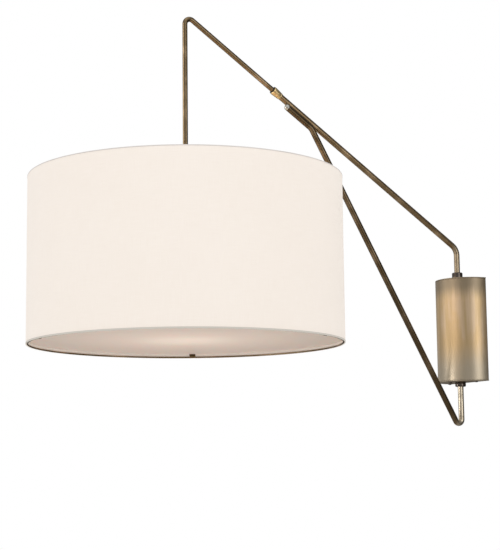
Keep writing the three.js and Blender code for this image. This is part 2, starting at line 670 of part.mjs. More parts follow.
add('lock_collar', turned([
  [collarBore, collarBack], [collarBackRadius, collarBack],
  [collarBackRadius, collarBack + LOCK_COLLAR_BACK_ROLL], [collarFrontRadius, lipBack],
  [collarFrontRadius - LOCK_COLLAR_CHAMFER, collarFront], [rodBore + LOCK_COLLAR_MOUTH, collarFront],
  [rodBore, lipBack + LOCK_COLLAR_CHAMFER], [rodBore, lipBack], [collarBore, lipBack],
]), brightBrass(), onTube);
add('lock_ring', sleeve(
  rodBore, collarFrontRadius - LOCK_RING_STEP, collarFront + GAP, collarFront + GAP + LOCK_RING_THICKNESS,
), blackRubber(), onTube);
const colletBack = tubeRun + GAP;
add('collet', sleeve(rodBore, tubeRadius, colletBack, colletBack + COLLET_LENGTH), nylon(), onTube);

// ---------------------------------------------------------------- telescoping rod

const elbowHeight = upperLineHeight + shadeReach * Math.tan(slope);
const rodRoute = new BentRoute(
  tubePoint(rodInnerEnd),
  [[armPoint(shadeReach, elbowHeight), ELBOW_BEND]],
  armPoint(shadeReach, rodLowerEnd),
);
add('extension_rod', bentTube(rodRoute, ROD_RADIUS, ROD_WALL), antiqueBrass());
const rodGrommet = add('rod_grommet', grommet(ROD_RADIUS, ROD_RADIUS - ROD_WALL), blackRubber(), onTube);
rodGrommet.position.z = rodInnerEnd;

// ---------------------------------------------------------------- shade

const wireRing = (height) => (
  new THREE.TorusGeometry(ringRadius, RING_WIRE, 6, 60).translate(0, 0, height)
);

// Top ring, three spokes and the hub washer, welded into one frame.
function spiderFrame() {
  const hub = rod(hubRadius, hubBottom, hubTop);
  const inner = hubRadius - SPOKE_LAP;
  const rise = topRingHeight - (hubTop + hubBottom) / 2;
  const run = ringRadius - inner;
  const spokes = [0, 1, 2].map((i) => (
    rod(SPIDER_WIRE, 0, Math.hypot(rise, run), 8)
      .rotateY(Math.atan2(run, rise))
      .translate(inner, 0, (hubTop + hubBottom) / 2)
      .rotateZ(Math.PI / 2 + (i * 2 * Math.PI) / 3)
  ));
  const hole = rod(ROD_RADIUS + GAP, hubBottom - 1, hubTop + 1, 16);
  return cut(join(wireRing(topRingHeight), hub, ...spokes), hole);
}

add('spider_frame', spiderFrame(), metal(0xd8d4cb, 0.4), onShade);
add('bottom_ring', wireRing(bottomRingHeight), metal(0xd8d4cb, 0.4), onShade);
add('shade_drum', sleeve(
  SHADE_RADIUS - SHADE_SKIN, SHADE_RADIUS, SHADE_BOTTOM, shadeTop, 96,
), linen(), onShade);

const nutBore = ROD_RADIUS + GAP;
add('hub_nut_upper', hexNut(
  hubNutFlats, nutBore, hubTop + GAP, hubTop + GAP + HUB_NUT_HEIGHT,
), antiqueBrass(), onShade);
add('hub_nut_lower', hexNut(
  hubNutFlats, nutBore, hubBottom - GAP - HUB_NUT_HEIGHT, hubBottom - GAP,
), antiqueBrass(), onShade);

const diffuserBottom = SHADE_BOTTOM + DIFFUSER_RECESS;
const diffuserRadius = SHADE_RADIUS - SHADE_SKIN - DIFFUSER_EDGE_PLAY;
add('diffuser', rod(
  diffuserRadius, diffuserBottom, diffuserBottom + DIFFUSER_THICKNESS, 96,
), opalAcrylic(), onShade);

// Spring clip: hooks over the bottom ring's wire and turns in under the diffuser.
function diffuserClip() {
  const outer = ringRadius + RING_WIRE;
  const inner = ringRadius - RING_WIRE - GAP;
  const low = bottomRingHeight - RING_WIRE;
  const tongue = diffuserBottom - GAP;
  const underTongue = tongue - CLIP_THICKNESS;
  const shape = new THREE.Shape([
    [inner, low], [inner, underTongue - CLIP_HOOK], [outer, underTongue - CLIP_HOOK], [outer, tongue],
    [inner - CLIP_TONGUE, tongue], [inner - CLIP_TONGUE, underTongue],
    [inner - CLIP_THICKNESS, underTongue], [inner - CLIP_THICKNESS, low],
  ].map(([radius, height]) => new THREE.Vector2(radius, height)));
  return new THREE.ExtrudeGeometry(shape, { depth: CLIP_WIDTH, bevelEnabled: false })
    .translate(0, 0, -CLIP_WIDTH / 2)
    .rotateX(Math.PI / 2);
}
for (let i = 0; i < CLIP_COUNT; i += 1) {
  const clip = add(`diffuser_clip_${i + 1}`, diffuserClip(), zincSteel(), onShade);
  clip.rotation.z = rad(30) + (i * 2 * Math.PI) / CLIP_COUNT;
}

// ---------------------------------------------------------------- lamp cluster

// The holders' backs clear the cluster's lower edge, and their nipples reach just inside its wall.
const holderStart = CLUSTER_RADIUS * Math.cos(rad(LAMP_TILT)) + GAP
  + (CLUSTER_HEIGHT - LAMP_AXIS_DROP + CLUSTER_CAP_HEIGHT) * Math.sin(rad(LAMP_TILT));
const nippleStart = CLUSTER_RADIUS - CLUSTER_WALL - NIPPLE_INSIDE;

const lampGroups = Array.from({ length: LAMP_COUNT }, (_, i) => {
  const lamp = new THREE.Group();
  lamp.position.z = clusterTop - LAMP_AXIS_DROP;
  lamp.rotation.set(0, Math.PI / 2 + rad(LAMP_TILT), (2 * Math.PI * (i + 0.5)) / LAMP_COUNT, 'ZYX');
  onShade.add(lamp);
  return lamp;
});

// Cup with the rod passing through its roof, open below, and a nipple hole towards each lamp.
function clusterBody() {
  const nipples = lampGroups.map((lamp) => {
    lamp.updateMatrix();
    return rod(NIPPLE_RADIUS + GAP, holderStart / 2, 2 * holderStart, 16).applyMatrix4(lamp.matrix);
  });
  return cut(
    turned([
      [ROD_RADIUS + GAP, clusterTop - CLUSTER_WALL],
      [CLUSTER_RADIUS - CLUSTER_WALL, clusterTop - CLUSTER_WALL],
      [CLUSTER_RADIUS - CLUSTER_WALL, clusterBottom], [CLUSTER_RADIUS, clusterBottom],
      [CLUSTER_RADIUS, clusterTop - CLUSTER_CHAMFER], [CLUSTER_RADIUS - CLUSTER_CHAMFER, clusterTop],
      [ROD_RADIUS + GAP, clusterTop],
    ]),
    ...nipples,
  );
}
add('cluster_body', clusterBody(), antiqueBrass(), onShade);
add('cluster_nut', hexNut(
  hubNutFlats, nutBore, clusterTop - CLUSTER_WALL - GAP - HUB_NUT_HEIGHT, clusterTop - CLUSTER_WALL - GAP,
), zincSteel(), onShade);
add('cluster_cap', turned([
  [0, clusterBottom - GAP - CLUSTER_CAP_HEIGHT],
  [CLUSTER_RADIUS - CLUSTER_CAP_HEIGHT, clusterBottom - GAP - CLUSTER_CAP_HEIGHT],
  [CLUSTER_RADIUS, clusterBottom - GAP - CLUSTER_CAP_HEIGHT / 3],
  [CLUSTER_RADIUS, clusterBottom - GAP], [0, clusterBottom - GAP],
]), antiqueBrass(), onShade);

const holderFloor = holderStart + HOLDER_FLOOR;
const holderMouth = holderFloor + HOLDER_DEPTH;
const capStart = holderFloor + LAMP_CAP_SPACE;
const capEnd = capStart + LAMP_CAP_LENGTH;
const globeStart = capEnd + GAP;
const globeEnd = globeStart + GLOBE_LENGTH;

// A lamp's glass: a neck that flares a little, then a ball whose curve starts behind its middle.
function lampGlobe() {
  const neck = LAMP_CAP_RADIUS + 1;
  const middle = globeEnd - GLOBE_RADIUS;
  const firstAngle = rad(-42);
  const steps = 6;
  const ball = Array.from({ length: steps }, (_, k) => {
    const angle = firstAngle + ((Math.PI / 2 - firstAngle) * k) / steps;
    return [GLOBE_RADIUS * Math.cos(angle), middle + GLOBE_RADIUS * Math.sin(angle)];
  });
  return turned([
    [0, globeStart], [neck, globeStart], [neck + GLOBE_NECK_FLARE, globeStart + GLOBE_NECK_LENGTH],
    ...ball, [0, globeEnd],
  ], 16);
}

lampGroups.forEach((lamp, i) => {
  add(`lamp_holder_${i + 1}`, turned([
    [0, nippleStart], [NIPPLE_RADIUS, nippleStart], [NIPPLE_RADIUS, holderStart],
    [HOLDER_RADIUS - HOLDER_SHOULDER / 2, holderStart], [HOLDER_RADIUS, holderStart + HOLDER_SHOULDER],
    [HOLDER_RADIUS, holderMouth], [HOLDER_RADIUS - HOLDER_WALL, holderMouth],
    [HOLDER_RADIUS - HOLDER_WALL, holderFloor], [0, holderFloor],
  ], 16), ceramic(), lamp);
  add(`lamp_cap_${i + 1}`, turned([
    [0, capStart], [LAMP_CAP_RADIUS / 2, capStart], [LAMP_CAP_RADIUS, capStart + LAMP_CAP_TAPER],
    [LAMP_CAP_RADIUS, capEnd], [0, capEnd],
  ], 16), metal(0xc9c9c6, 0.35), lamp);
  add(`lamp_globe_${i + 1}`, lampGlobe(), opalGlass(), lamp);
});

export default sconce;
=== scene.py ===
import json
import math

import bmesh
import bpy
import numpy as np
from mathutils import Matrix, Vector


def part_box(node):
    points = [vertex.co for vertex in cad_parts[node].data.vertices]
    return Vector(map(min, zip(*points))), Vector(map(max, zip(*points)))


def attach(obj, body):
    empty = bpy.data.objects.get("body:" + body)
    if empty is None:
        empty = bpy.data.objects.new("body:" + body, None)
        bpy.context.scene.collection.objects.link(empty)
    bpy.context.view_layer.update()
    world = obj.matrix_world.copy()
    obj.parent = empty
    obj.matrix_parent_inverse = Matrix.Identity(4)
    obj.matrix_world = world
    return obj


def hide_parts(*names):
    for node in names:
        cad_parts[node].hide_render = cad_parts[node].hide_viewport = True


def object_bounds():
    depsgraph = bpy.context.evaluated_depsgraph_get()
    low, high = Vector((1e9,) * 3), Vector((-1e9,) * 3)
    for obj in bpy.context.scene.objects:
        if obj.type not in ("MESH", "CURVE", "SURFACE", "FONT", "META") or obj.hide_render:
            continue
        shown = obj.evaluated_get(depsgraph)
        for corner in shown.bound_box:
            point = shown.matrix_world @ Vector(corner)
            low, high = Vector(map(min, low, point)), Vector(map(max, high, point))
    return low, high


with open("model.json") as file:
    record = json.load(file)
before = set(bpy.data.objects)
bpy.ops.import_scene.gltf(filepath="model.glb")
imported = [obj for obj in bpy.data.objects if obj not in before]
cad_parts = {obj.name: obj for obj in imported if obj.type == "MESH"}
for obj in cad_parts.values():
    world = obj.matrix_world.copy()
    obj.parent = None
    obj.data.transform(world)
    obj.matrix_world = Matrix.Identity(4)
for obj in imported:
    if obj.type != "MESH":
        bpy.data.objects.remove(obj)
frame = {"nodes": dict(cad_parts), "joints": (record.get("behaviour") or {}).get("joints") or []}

# Swing arm wall sconce. Metres, +Z up, the wall is the plane y = 0 and the room is on the -Y side.
cad_low, cad_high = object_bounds()
joints = {j["name"]: j for j in frame["joints"]}

# ------------------------ camera
# A long lens a little below the lamp on the housing's +X side, turned 30 degrees from the wall and looking
# slightly up, with the least roll.

CAMERA_PLACE = Vector((2.4810, -1.9652, -0.3176))
CAMERA_HEADING = math.radians(30.0)  # from -X towards +Y
CAMERA_RISE = math.radians(8.06)
CAMERA_ROLL = math.radians(-0.6)
CAMERA_LENS = 106.945

ahead = Vector((
    -math.cos(CAMERA_HEADING) * math.cos(CAMERA_RISE),
    math.sin(CAMERA_HEADING) * math.cos(CAMERA_RISE),
    math.sin(CAMERA_RISE),
))
level_right = Vector((math.sin(CAMERA_HEADING), math.cos(CAMERA_HEADING), 0))
level_up = level_right.cross(ahead)
camera_right = level_right * math.cos(CAMERA_ROLL) + level_up * math.sin(CAMERA_ROLL)
camera_up = camera_right.cross(ahead)
camera = bpy.data.objects.new("camera", bpy.data.cameras.new("camera"))
camera.data.sensor_fit = "HORIZONTAL"
camera.data.sensor_width = 36
camera.data.lens = CAMERA_LENS
camera.data.clip_end = 50
turned_axes = Matrix((camera_right, camera_up, -ahead)).transposed()
camera.matrix_world = Matrix.Translation(CAMERA_PLACE) @ turned_axes.to_4x4()
bpy.context.scene.collection.objects.link(camera)
bpy.context.scene.camera = camera
bpy.context.scene.view_settings.view_transform = "Standard"

# ------------------------ floor, backdrop and lights
# White studio: a pale floor far below, a soft sky for the cloth, and for the metal a room that is light
# above, darker at the sides and dark below, with two tall soft boxes that draw streaks down the housing.

class Wire:
    """A socket of a node tree. + - * with numbers or other sockets add Math nodes."""

    def __init__(self, nodes, socket):
        self.nodes = nodes
        self.socket = socket

    def _math(self, operation, a, b):
        return self.nodes.node("ShaderNodeMath", {0: a, 1: b}, operation=operation)

    def __add__(self, other):
        return self._math("ADD", self, other)

    def __sub__(self, other):
        return self._math("SUBTRACT", self, other)

    def __mul__(self, other):
        return self._math("MULTIPLY", self, other)

    def __rsub__(self, other):
        return self._math("SUBTRACT", other, self)

    __radd__ = __add__
    __rmul__ = __mul__


class Nodes:
    """A node tree."""

    def __init__(self, tree):
        self.tree = tree

    def node(self, kind, inputs, output=0, stops=(), **settings):
        """Adds a node: its settings and its ramp's stops first, then the values or links of its sockets."""
        made = self.tree.nodes.new(kind)
        for setting, value in settings.items():
            setattr(made, setting, value)
        for _ in stops[2:]:
            made.color_ramp.elements.new(0.5)
        for i, (place, colour) in enumerate(stops):
            made.color_ramp.elements[i].position = place
            made.color_ramp.elements[i].color = (*colour, 1)
        for socket, value in inputs.items():
            if isinstance(value, Wire):
                self.tree.links.new(value.socket, made.inputs[socket])
            else:
                made.inputs[socket].default_value = value
        return Wire(self, made.outputs[output])

    def coordinate(self, vector, axis):
        """One of a vector's three numbers."""
        return self.node("ShaderNodeSeparateXYZ", {0: vector}, output=axis)


class Finish(Nodes):
    """A node material: constants go on the shader's own sockets, and feed() links what varies."""

    def __init__(self, name, **constants):
        self.material = bpy.data.materials.new(name)
        self.material.use_nodes = True
        super().__init__(self.material.node_tree)
        self.shader = self.tree.nodes["Principled BSDF"]
        for socket, value in constants.items():
            self.shader.inputs[socket.replace("_", " ")].default_value = value

    def feed(self, socket, wire):
        self.tree.links.new(wire.socket, self.shader.inputs[socket])

    def place(self):
        """Where the surface is, on the object's own axes."""
        return self.node("ShaderNodeTexCoord", {}, "Object")

    def sheet_place(self):
        """The piece's own UV map, in metres over the surface."""
        return self.node("ShaderNodeUVMap", {}, uv_map="surface")

    def noise(self, vector, stretch, detail=3.0, roughness=0.55):
        """Noise from 0 to 1, with stretch cycles in each metre along each axis."""
        scaled = self.node("ShaderNodeMapping", {"Vector": vector, "Scale": stretch})
        return self.node(
            "ShaderNodeTexNoise", {"Vector": scaled, "Scale": 1, "Detail": detail, "Roughness": roughness}
        )

    def fade(self, wire, start, end, low=0.0, high=1.0):
        """low before start, high after end, and a smooth step between."""
        return self.node(
            "ShaderNodeMapRange",
            {"Value": wire, "From Min": start, "From Max": end, "To Min": low, "To Max": high},
            interpolation_type="SMOOTHSTEP",
        )

    def blend(self, share, first, second):
        """A colour between two, by share."""
        return self.node(
            "ShaderNodeMix", {0: share, 6: _colour(first), 7: _colour(second)}, output=2, data_type="RGBA"
        )

    def from_axis(self, y):
        """Distance from the upright line at x = 0 and this y."""
        flat = self.node(
            "ShaderNodeMapping", {"Vector": self.place(), "Location": (0, -y, 0), "Scale": (1, 1, 0)}
        )
        return self.node("ShaderNodeVectorMath", {0: flat}, output=1, operation="LENGTH")

    def height(self):
        """How high the surface is."""
        return self.coordinate(self.place(), 2)

    def bump(self, height, depth):
        """Feeds the normal with a height from 0 to 1 that stands for depth metres."""
        bumped = self.node("ShaderNodeBump", {"Height": height, "Distance": depth, "Strength": 1})
        self.feed("Normal", bumped)


def _colour(value):
    return value if isinstance(value, Wire) else (*value, 1)


FLOOR_HEIGHT = -1.35
FLOOR_SIZE = 9.0

floor_mesh = bpy.data.meshes.new("floor")
half = FLOOR_SIZE / 2
floor_mesh.from_pydata(
    [(-half, -half, FLOOR_HEIGHT), (half, -half, FLOOR_HEIGHT),
     (half, half, FLOOR_HEIGHT), (-half, half, FLOOR_HEIGHT)], [], [(0, 1, 2, 3)],
)
floor = bpy.data.objects.new("floor", floor_mesh)
bpy.context.scene.collection.objects.link(floor)
floor.visible_glossy = False  # the room below takes its place in the metal
pale_floor = Finish("pale_floor", Roughness=0.8)
floor_tone = pale_floor.noise(pale_floor.place(), (0.7, 0.7, 0.7))
pale_floor.feed("Base Color", pale_floor.blend(floor_tone, (0.80, 0.79, 0.77), (0.84, 0.83, 0.81)))
floor_mesh.materials.append(pale_floor.material)

world = bpy.data.worlds.new("studio")
bpy.context.scene.world = world
world.use_nodes = True
sky = Nodes(world.node_tree)
ROOM_STOPS = [  # what the metal sees, from straight down to straight up
    (0.0, (0.46, 0.43, 0.40)), (0.37, (0.40, 0.38, 0.35)), (0.43, (0.07, 0.065, 0.06)),
    (0.475, (0.07, 0.065, 0.06)), (0.505, (0.52, 0.51, 0.50)), (0.62, (0.54, 0.54, 0.53)),
    (1.0, (0.58, 0.59, 0.60)),
]
WALL_SIDE_SHADE = 0.30
CLOTH_SKY = 0.945
WHITE = (1, 1, 1, 1)
way = sky.node("ShaderNodeTexCoord", {}, "Generated")
upward = sky.node("ShaderNodeMapRange", {"Value": sky.coordinate(way, 2), "From Min": -1})
wall_side = sky.node("ShaderNodeMapRange", {
    "Value": sky.coordinate(way, 1), "From Min": 0.15, "From Max": 0.65, "To Min": 1,
    "To Max": WALL_SIDE_SHADE,
})
room = sky.node("ShaderNodeValToRGB", {"Fac": upward}, stops=ROOM_STOPS)
for_metal = sky.node("ShaderNodeBackground", {"Color": room, "Strength": wall_side})
for_camera = sky.node("ShaderNodeBackground", {"Color": WHITE})
surroundings = sky.node("ShaderNodeBackground", {"Color": WHITE, "Strength": CLOTH_SKY})
for ray, seen in (("Is Glossy Ray", for_metal), ("Is Camera Ray", for_camera)):
    this_ray = sky.node("ShaderNodeLightPath", {}, ray)
    surroundings = sky.node("ShaderNodeMixShader", {0: this_ray, 1: surroundings, 2: seen})
sky.tree.links.new(surroundings.socket, sky.tree.nodes["World Output"].inputs["Surface"])


def soft_box(name, azimuth, elevation, distance, size, power, colour=(1, 1, 1), on_cloth=True, shadow=True):
    """A rectangular light, itself unseen, that faces the lamp's middle from azimuth degrees round from the
    -Y side towards +X. One that is not on_cloth only draws reflections on the metal, and one without a
    shadow reaches the housing past the drum that hangs in its way."""
    lamp = bpy.data.objects.new(name, bpy.data.lights.new(name, "AREA"))
    lamp.data.shape = "RECTANGLE"
    lamp.data.size, lamp.data.size_y = size
    lamp.data.energy = power
    lamp.data.color = colour
    turn, rise = math.radians(azimuth), math.radians(elevation)
    away = Vector((
        math.sin(turn) * math.cos(rise), -math.cos(turn) * math.cos(rise), math.sin(rise),
    ))
    aim = (cad_low + cad_high) / 2
    lamp.location = aim + away * distance
    lamp.rotation_euler = (-away).to_track_quat("-Z", "Y").to_euler()
    lamp.visible_camera = False
    lamp.visible_diffuse = on_cloth
    lamp.data.use_shadow = shadow
    bpy.context.scene.collection.objects.link(lamp)


soft_box("left_box", -20, 4, 3.2, (1.3, 2.6), 46, (1.0, 0.98, 0.96), on_cloth=False, shadow=False)
soft_box("right_box", 101, 8, 3.2, (1.4, 2.4), 15, (1.0, 0.99, 0.98), on_cloth=False)
soft_box("top_box", 60, 68, 3.2, (2.6, 2.6), 20)

# ------------------------ wall housing: shell and discs
# A sheet of brass rolled to a half round, with short lips on the wall, and two plates of the same brass
# with eased edges. All are brushed lengthways, greyer towards the bottom, and darker at the top: a painted
# reflection.

SHELL_WALL = 0.0012
SHELL_EDGE = 0.00025
SHELL_CORNER = 0.0014
SHELL_LIP = 0.0110
DISC_EDGE = 0.0005
GAP = 0.0003  # between pieces that touch
BUSH_WALL = 0.0024

shell_low, shell_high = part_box("housing_shell")
housing_radius = (shell_high.x - shell_low.x) / 2
housing_axis = shell_low.y + housing_radius
pivot = Vector(joints["arm_swing"]["pos_m"])
tube_low, tube_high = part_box("upper_tube")
tube_radius = (tube_high.x - tube_low.x) / 2
bush_radius = tube_radius + GAP + BUSH_WALL


def grid_faces(rows, columns, close_rows, close_columns):
    """Quads between neighbours of a rows by columns grid, going round where a direction closes."""
    r = np.arange(rows if close_rows else rows - 1)[:, None]
    c = np.arange(columns if close_columns else columns - 1)[None, :]
    r2, c2 = (r + 1) % rows, (c + 1) % columns
    corners = r * columns + c, r * columns + c2, r2 * columns + c2, r2 * columns + c
    return np.stack(np.broadcast_arrays(*corners), -1).reshape(-1, 4)


def surface_places(points, close_rows, close_columns):
    """UV corners in metres: the distance along the middle column, and along each grid's widest row."""
    rows, columns = points.shape[:2]
    next_row = np.diff(points[np.arange(rows + close_rows) % rows], axis=0)
    next_column = np.diff(points[:, np.arange(columns + close_columns) % columns], axis=1)
    across = np.linalg.norm(next_row, axis=2).max(1)
    along = np.linalg.norm(next_column, axis=2).max(0)
    v = np.concatenate([[0], np.cumsum(across)])
    u = np.concatenate([[0], np.cumsum(along)])
    r = np.arange(rows if close_rows else rows - 1)[:, None]
    c = np.arange(columns if close_columns else columns - 1)[None, :]
    corners = [(r, c), (r, c + 1), (r + 1, c + 1), (r + 1, c)]
    spread = [np.stack(np.broadcast_arrays(u[b], v[a]), -1) for a, b in corners]
    return np.stack(spread, 2).reshape(-1, 2)


def piece(name, grids, finish, body, replaces=(), smooth_angle=40):
    """One object from closed grids (points, rows close, columns close), welded where they come together."""
    vertices, faces, places, start = [], [], [], 0
    for points, close_rows, close_columns in grids:
        rows, columns = points.shape[:2]
        vertices.append(points.reshape(-1, 3))
        faces.append(grid_faces(rows, columns, close_rows, close_columns) + start)
        places.append(surface_places(points, close_rows, close_columns))
        start += rows * columns
    mesh = bpy.data.meshes.new(name)
    mesh.from_pydata(np.concatenate(vertices).tolist(), [], np.concatenate(faces).tolist())
    layer = mesh.uv_layers.new(name="surface")
    layer.data.foreach_set("uv", np.concatenate(places).astype(np.float32).ravel())
    work = bmesh.new()
    work.from_mesh(mesh)
    bmesh.ops.remove_doubles(work, verts=work.verts, dist=2e-7)
    bmesh.ops.recalc_face_normals(work, faces=work.faces)
    work.to_mesh(mesh)
    work.free()
    mesh.shade_smooth()
    mesh.set_sharp_from_angle(angle=math.radians(smooth_angle))
    for one in finish if isinstance(finish, (list, tuple)) else [finish]:
        mesh.materials.append(one.material)
    made = bpy.data.objects.new(name, mesh)
    bpy.context.scene.collection.objects.link(made)
    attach(made, body)
    if replaces:
        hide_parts(*replaces)
    return made


def brushed_brass():
    """Half-polished brass: fine vertical brush lines, cloudy colour, greyer towards the bottom end, and
    darker towards the top end as a painted reflection.
    """
    finish = Finish("brushed_brass", Metallic=1.0)
    place, z = finish.place(), finish.height()
    lines = finish.noise(place, (1500, 1500, 9), detail=2, roughness=0.7)
    streaks = finish.noise(place, (130, 130, 7), detail=3)
    clouds = finish.noise(place, (26, 26, 13), detail=4)
    wander = (streaks - 0.5) * 0.022
    # Painted reflection: darker towards the top end. Below it, greyer towards the bottom end.
    top = finish.fade(z + wander, shell_high.z - 0.048, shell_high.z - 0.012)
    bottom = finish.fade(z + wander, shell_low.z + 0.085, shell_low.z + 0.015)
    gold = finish.blend(finish.fade(clouds, 0.38, 0.62), (0.67, 0.48, 0.27), (0.70, 0.53, 0.36))
    lined = finish.blend(finish.fade(streaks, 0.35, 0.7), gold, (0.58, 0.42, 0.23))
    greyed = finish.blend(bottom * 0.8, lined, (0.50, 0.45, 0.36))
    finish.feed("Base Color", finish.blend(top * 0.8, greyed, (0.27, 0.225, 0.165)))
    finish.feed("Roughness", 0.30 + lines * 0.08 + clouds * 0.06 + top * 0.05)
    finish.bump(lines, 0.00003)
    return finish


def shell_section():
    """Middle line of the sheet seen from above: lip, rounded corner, half round, rounded corner, lip."""
    middle = housing_radius - SHELL_WALL / 2
    lip_y = shell_high.y - SHELL_WALL / 2
    reach = math.acos((housing_axis - lip_y) / middle)
    corner = np.array([middle * math.sin(reach), lip_y])
    lip = corner - (SHELL_LIP, 0)
    ease = SHELL_CORNER / middle
    angle = np.linspace(reach - ease, ease - reach, 161)
    arc = np.stack([middle * np.sin(angle), housing_axis - middle * np.cos(angle)], 1)
    t = np.linspace(0, 1, 7)[1:-1, None]
    into = corner - (SHELL_CORNER, 0)
    bend = (1 - t) ** 2 * into + 2 * t * (1 - t) * corner + t ** 2 * arc[0]
    right = np.vstack([lip, (lip + into) / 2, into, bend])
    left = right[::-1] * (-1, 1)
    return np.vstack([right, arc, left])


def shell_sheet():
    """The section line offset by half the wall to each side, over the shell's height, with eased rims."""
    line = shell_section()
    step = np.gradient(line, axis=0)
    step /= np.linalg.norm(step, axis=1, keepdims=True)
    normal = np.stack([step[:, 1], -step[:, 0]], 1)
    t, e, low, high = SHELL_WALL / 2, SHELL_EDGE, shell_low.z, shell_high.z
    rim = np.array([
        (t, low + e), (t, 0.0), (t, high - e), (t - e, high), (e - t, high), (-t, high - e),
        (-t, 0.0), (-t, low + e), (e - t, low), (t - e, low),
    ])
    flat = line[:, None] + normal[:, None] * rim[None, :, :1]
    return np.concatenate([flat, np.broadcast_to(rim[None, :, 1:], (*flat.shape[:2], 1))], 2)


def closed_ends(points):
    """The grid with its first and last rows drawn together to their middles, which closes both ends."""
    ends = [np.broadcast_to(row.mean(0), row.shape) for row in (points[0], points[-1])]
    return np.concatenate([ends[0][None], points, ends[1][None]])


def disc(node):
    """Half-round plate: from the pivot's hole out to the arc or to the wall, in every direction."""
    low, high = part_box(node)
    hole = bush_radius + GAP
    corner_x = math.sqrt(housing_radius ** 2 - housing_axis ** 2)
    corners = [math.atan2(-pivot.y, x) for x in (corner_x, -corner_x)]
    angle = np.unique(np.concatenate([np.linspace(0, 2 * np.pi, 180, endpoint=False), corners]))
    way = np.stack([np.cos(angle), np.sin(angle)], 1)
    off = pivot.y - housing_axis
    to_arc = -off * way[:, 1] + np.sqrt(housing_radius ** 2 - (off * way[:, 0]) ** 2)
    to_wall = np.where(way[:, 1] > 1e-6, -pivot.y / np.maximum(way[:, 1], 1e-6), np.inf)
    reach = np.minimum(to_arc, to_wall)
    e = DISC_EDGE
    soft = [(reach - e, high.z), (reach - 0.3 * e, high.z - 0.3 * e), (reach, high.z - e),
            (reach, low.z + e), (reach - 0.3 * e, low.z + 0.3 * e), (reach - e, low.z)]
    rings = [(hole + 0 * reach, low.z), (hole + 0 * reach, high.z), *soft]
    return np.stack([
        np.concatenate([
            way * r[:, None] + (0, pivot.y), np.full((len(angle), 1), z),
        ], 1) for r, z in rings
    ]), True, True


brass_sheet = brushed_brass()
piece(
    "housing_shell_brushed", [(closed_ends(shell_sheet()), False, True)],
    brass_sheet, "wall_unit", ["housing_shell"], smooth_angle=30,
)
for node in ("top_disc", "bottom_disc"):
    piece(f"{node}_plate", [disc(node)], brass_sheet, "wall_unit", [node], 30)

# ------------------------ disc screws
# Three slotted pan-head screws, blackened brass, up through the bottom disc into the bracket's flange.

SCREW_SLOT_HALF = 0.0004
SCREW_SLOT_DEPTH = 0.0009
SCREW_HEAD = 0.0024
SCREW_SHANK = 0.0017
SCREW_LENGTH = 0.0080


def blackened_brass(name="blackened_brass", light=1.0):
    """Polished metal under a dark bronze stain, lighter where it has been handled."""
    finish = Finish(name, Metallic=1.0)
    rub = finish.noise(finish.place(), (180, 180, 180), detail=4)
    stain, handled = (tuple(light * c for c in tone) for tone in ((0.10, 0.085, 0.075), (0.19, 0.155, 0.13)))
    finish.feed("Base Color", finish.blend(finish.fade(rub, 0.35, 0.75), stain, handled))
    finish.feed("Roughness", 0.05 + rub * 0.08)
    return finish


def screw(node):
    """Head: rings from the middle to the rim whose columns follow the slot's straight sides, so that the
    slot has upright walls. Below it come the bearing face and the shank."""
    low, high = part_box(node)
    centre = (low + high) / 2
    radius = (high.x - low.x) / 2
    ring = np.array([1.05 * SCREW_SLOT_HALF, *(radius * np.array([0.4, 0.7, 0.86, 0.96, 1]))])
    top = SCREW_HEAD * np.array([1, 0.985, 0.94, 0.86, 0.74, 0.6])
    lean = np.arcsin(SCREW_SLOT_HALF / ring)[:, None]
    slot_floor = np.linspace(-1, 1, 4)
    land = np.linspace(0, 1, 15)
    quarter = [lean * slot_floor, lean + (np.pi - 2 * lean) * land]
    angle = np.hstack([quarter[0], quarter[1], quarter[0] + np.pi, quarter[1] + np.pi])
    in_slot = np.hstack([np.ones(4), np.zeros(15)] * 2)
    height = top[:, None] - SCREW_SLOT_DEPTH * in_slot
    rows = [np.stack([ring[:, None] * np.cos(angle), ring[:, None] * np.sin(angle), height], 2)]
    pole = rows[0][:1].copy()
    pole[..., :2] = 0
    pole[..., 2] = SCREW_HEAD - SCREW_SLOT_DEPTH
    below = [
        (radius, 0.0), (SCREW_SHANK, 0.0), (SCREW_SHANK, 0.001 - SCREW_LENGTH),
        (0.6 * SCREW_SHANK, -SCREW_LENGTH), (0.0, -SCREW_LENGTH),
    ]
    for r, z in below:
        row = rows[0][-1:].copy()
        row[..., 0] = r * np.cos(angle[-1])
        row[..., 1] = r * np.sin(angle[-1])
        row[..., 2] = z
        rows.append(row)
    points = np.concatenate([pole, *rows])
    return points * (1, 1, -1) + (centre.x, centre.y, low.z + SCREW_HEAD), False, True


screw_finish = blackened_brass()
for number in (1, 2, 3):
    node = f"bottom_disc_screw_{number}"
    piece(f"{node}_slotted", [screw(node)], screw_finish, "wall_unit", [node], 35)

# ------------------------ inside the housing
# Zinc-plated steel bracket, nuts, retainers and stop pieces, a moulded nylon washer, terminal block and
# collet, and rubber grommets where the cable would pass a cut edge.


def dress(finish, *names):
    """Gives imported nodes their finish; their shape stays as it is."""
    for name in names:
        frame["nodes"][name].data.materials.clear()
        frame["nodes"][name].data.materials.append(finish.material)


def mottled(name, stretch, detail, first, second, rough, spread, bumps=0.0, **constants):
    """A finish with one noise through it: the colour goes from first to second with the noise, the roughness
    from rough up by spread, and the surface up by bumps in metres."""
    finish = Finish(name, **constants)
    spots = finish.noise(finish.place(), stretch, detail=detail)
    finish.feed("Base Color", finish.blend(spots, first, second))
    finish.feed("Roughness", rough + spots * spread)
    if bumps:
        finish.bump(spots, bumps)
    return finish


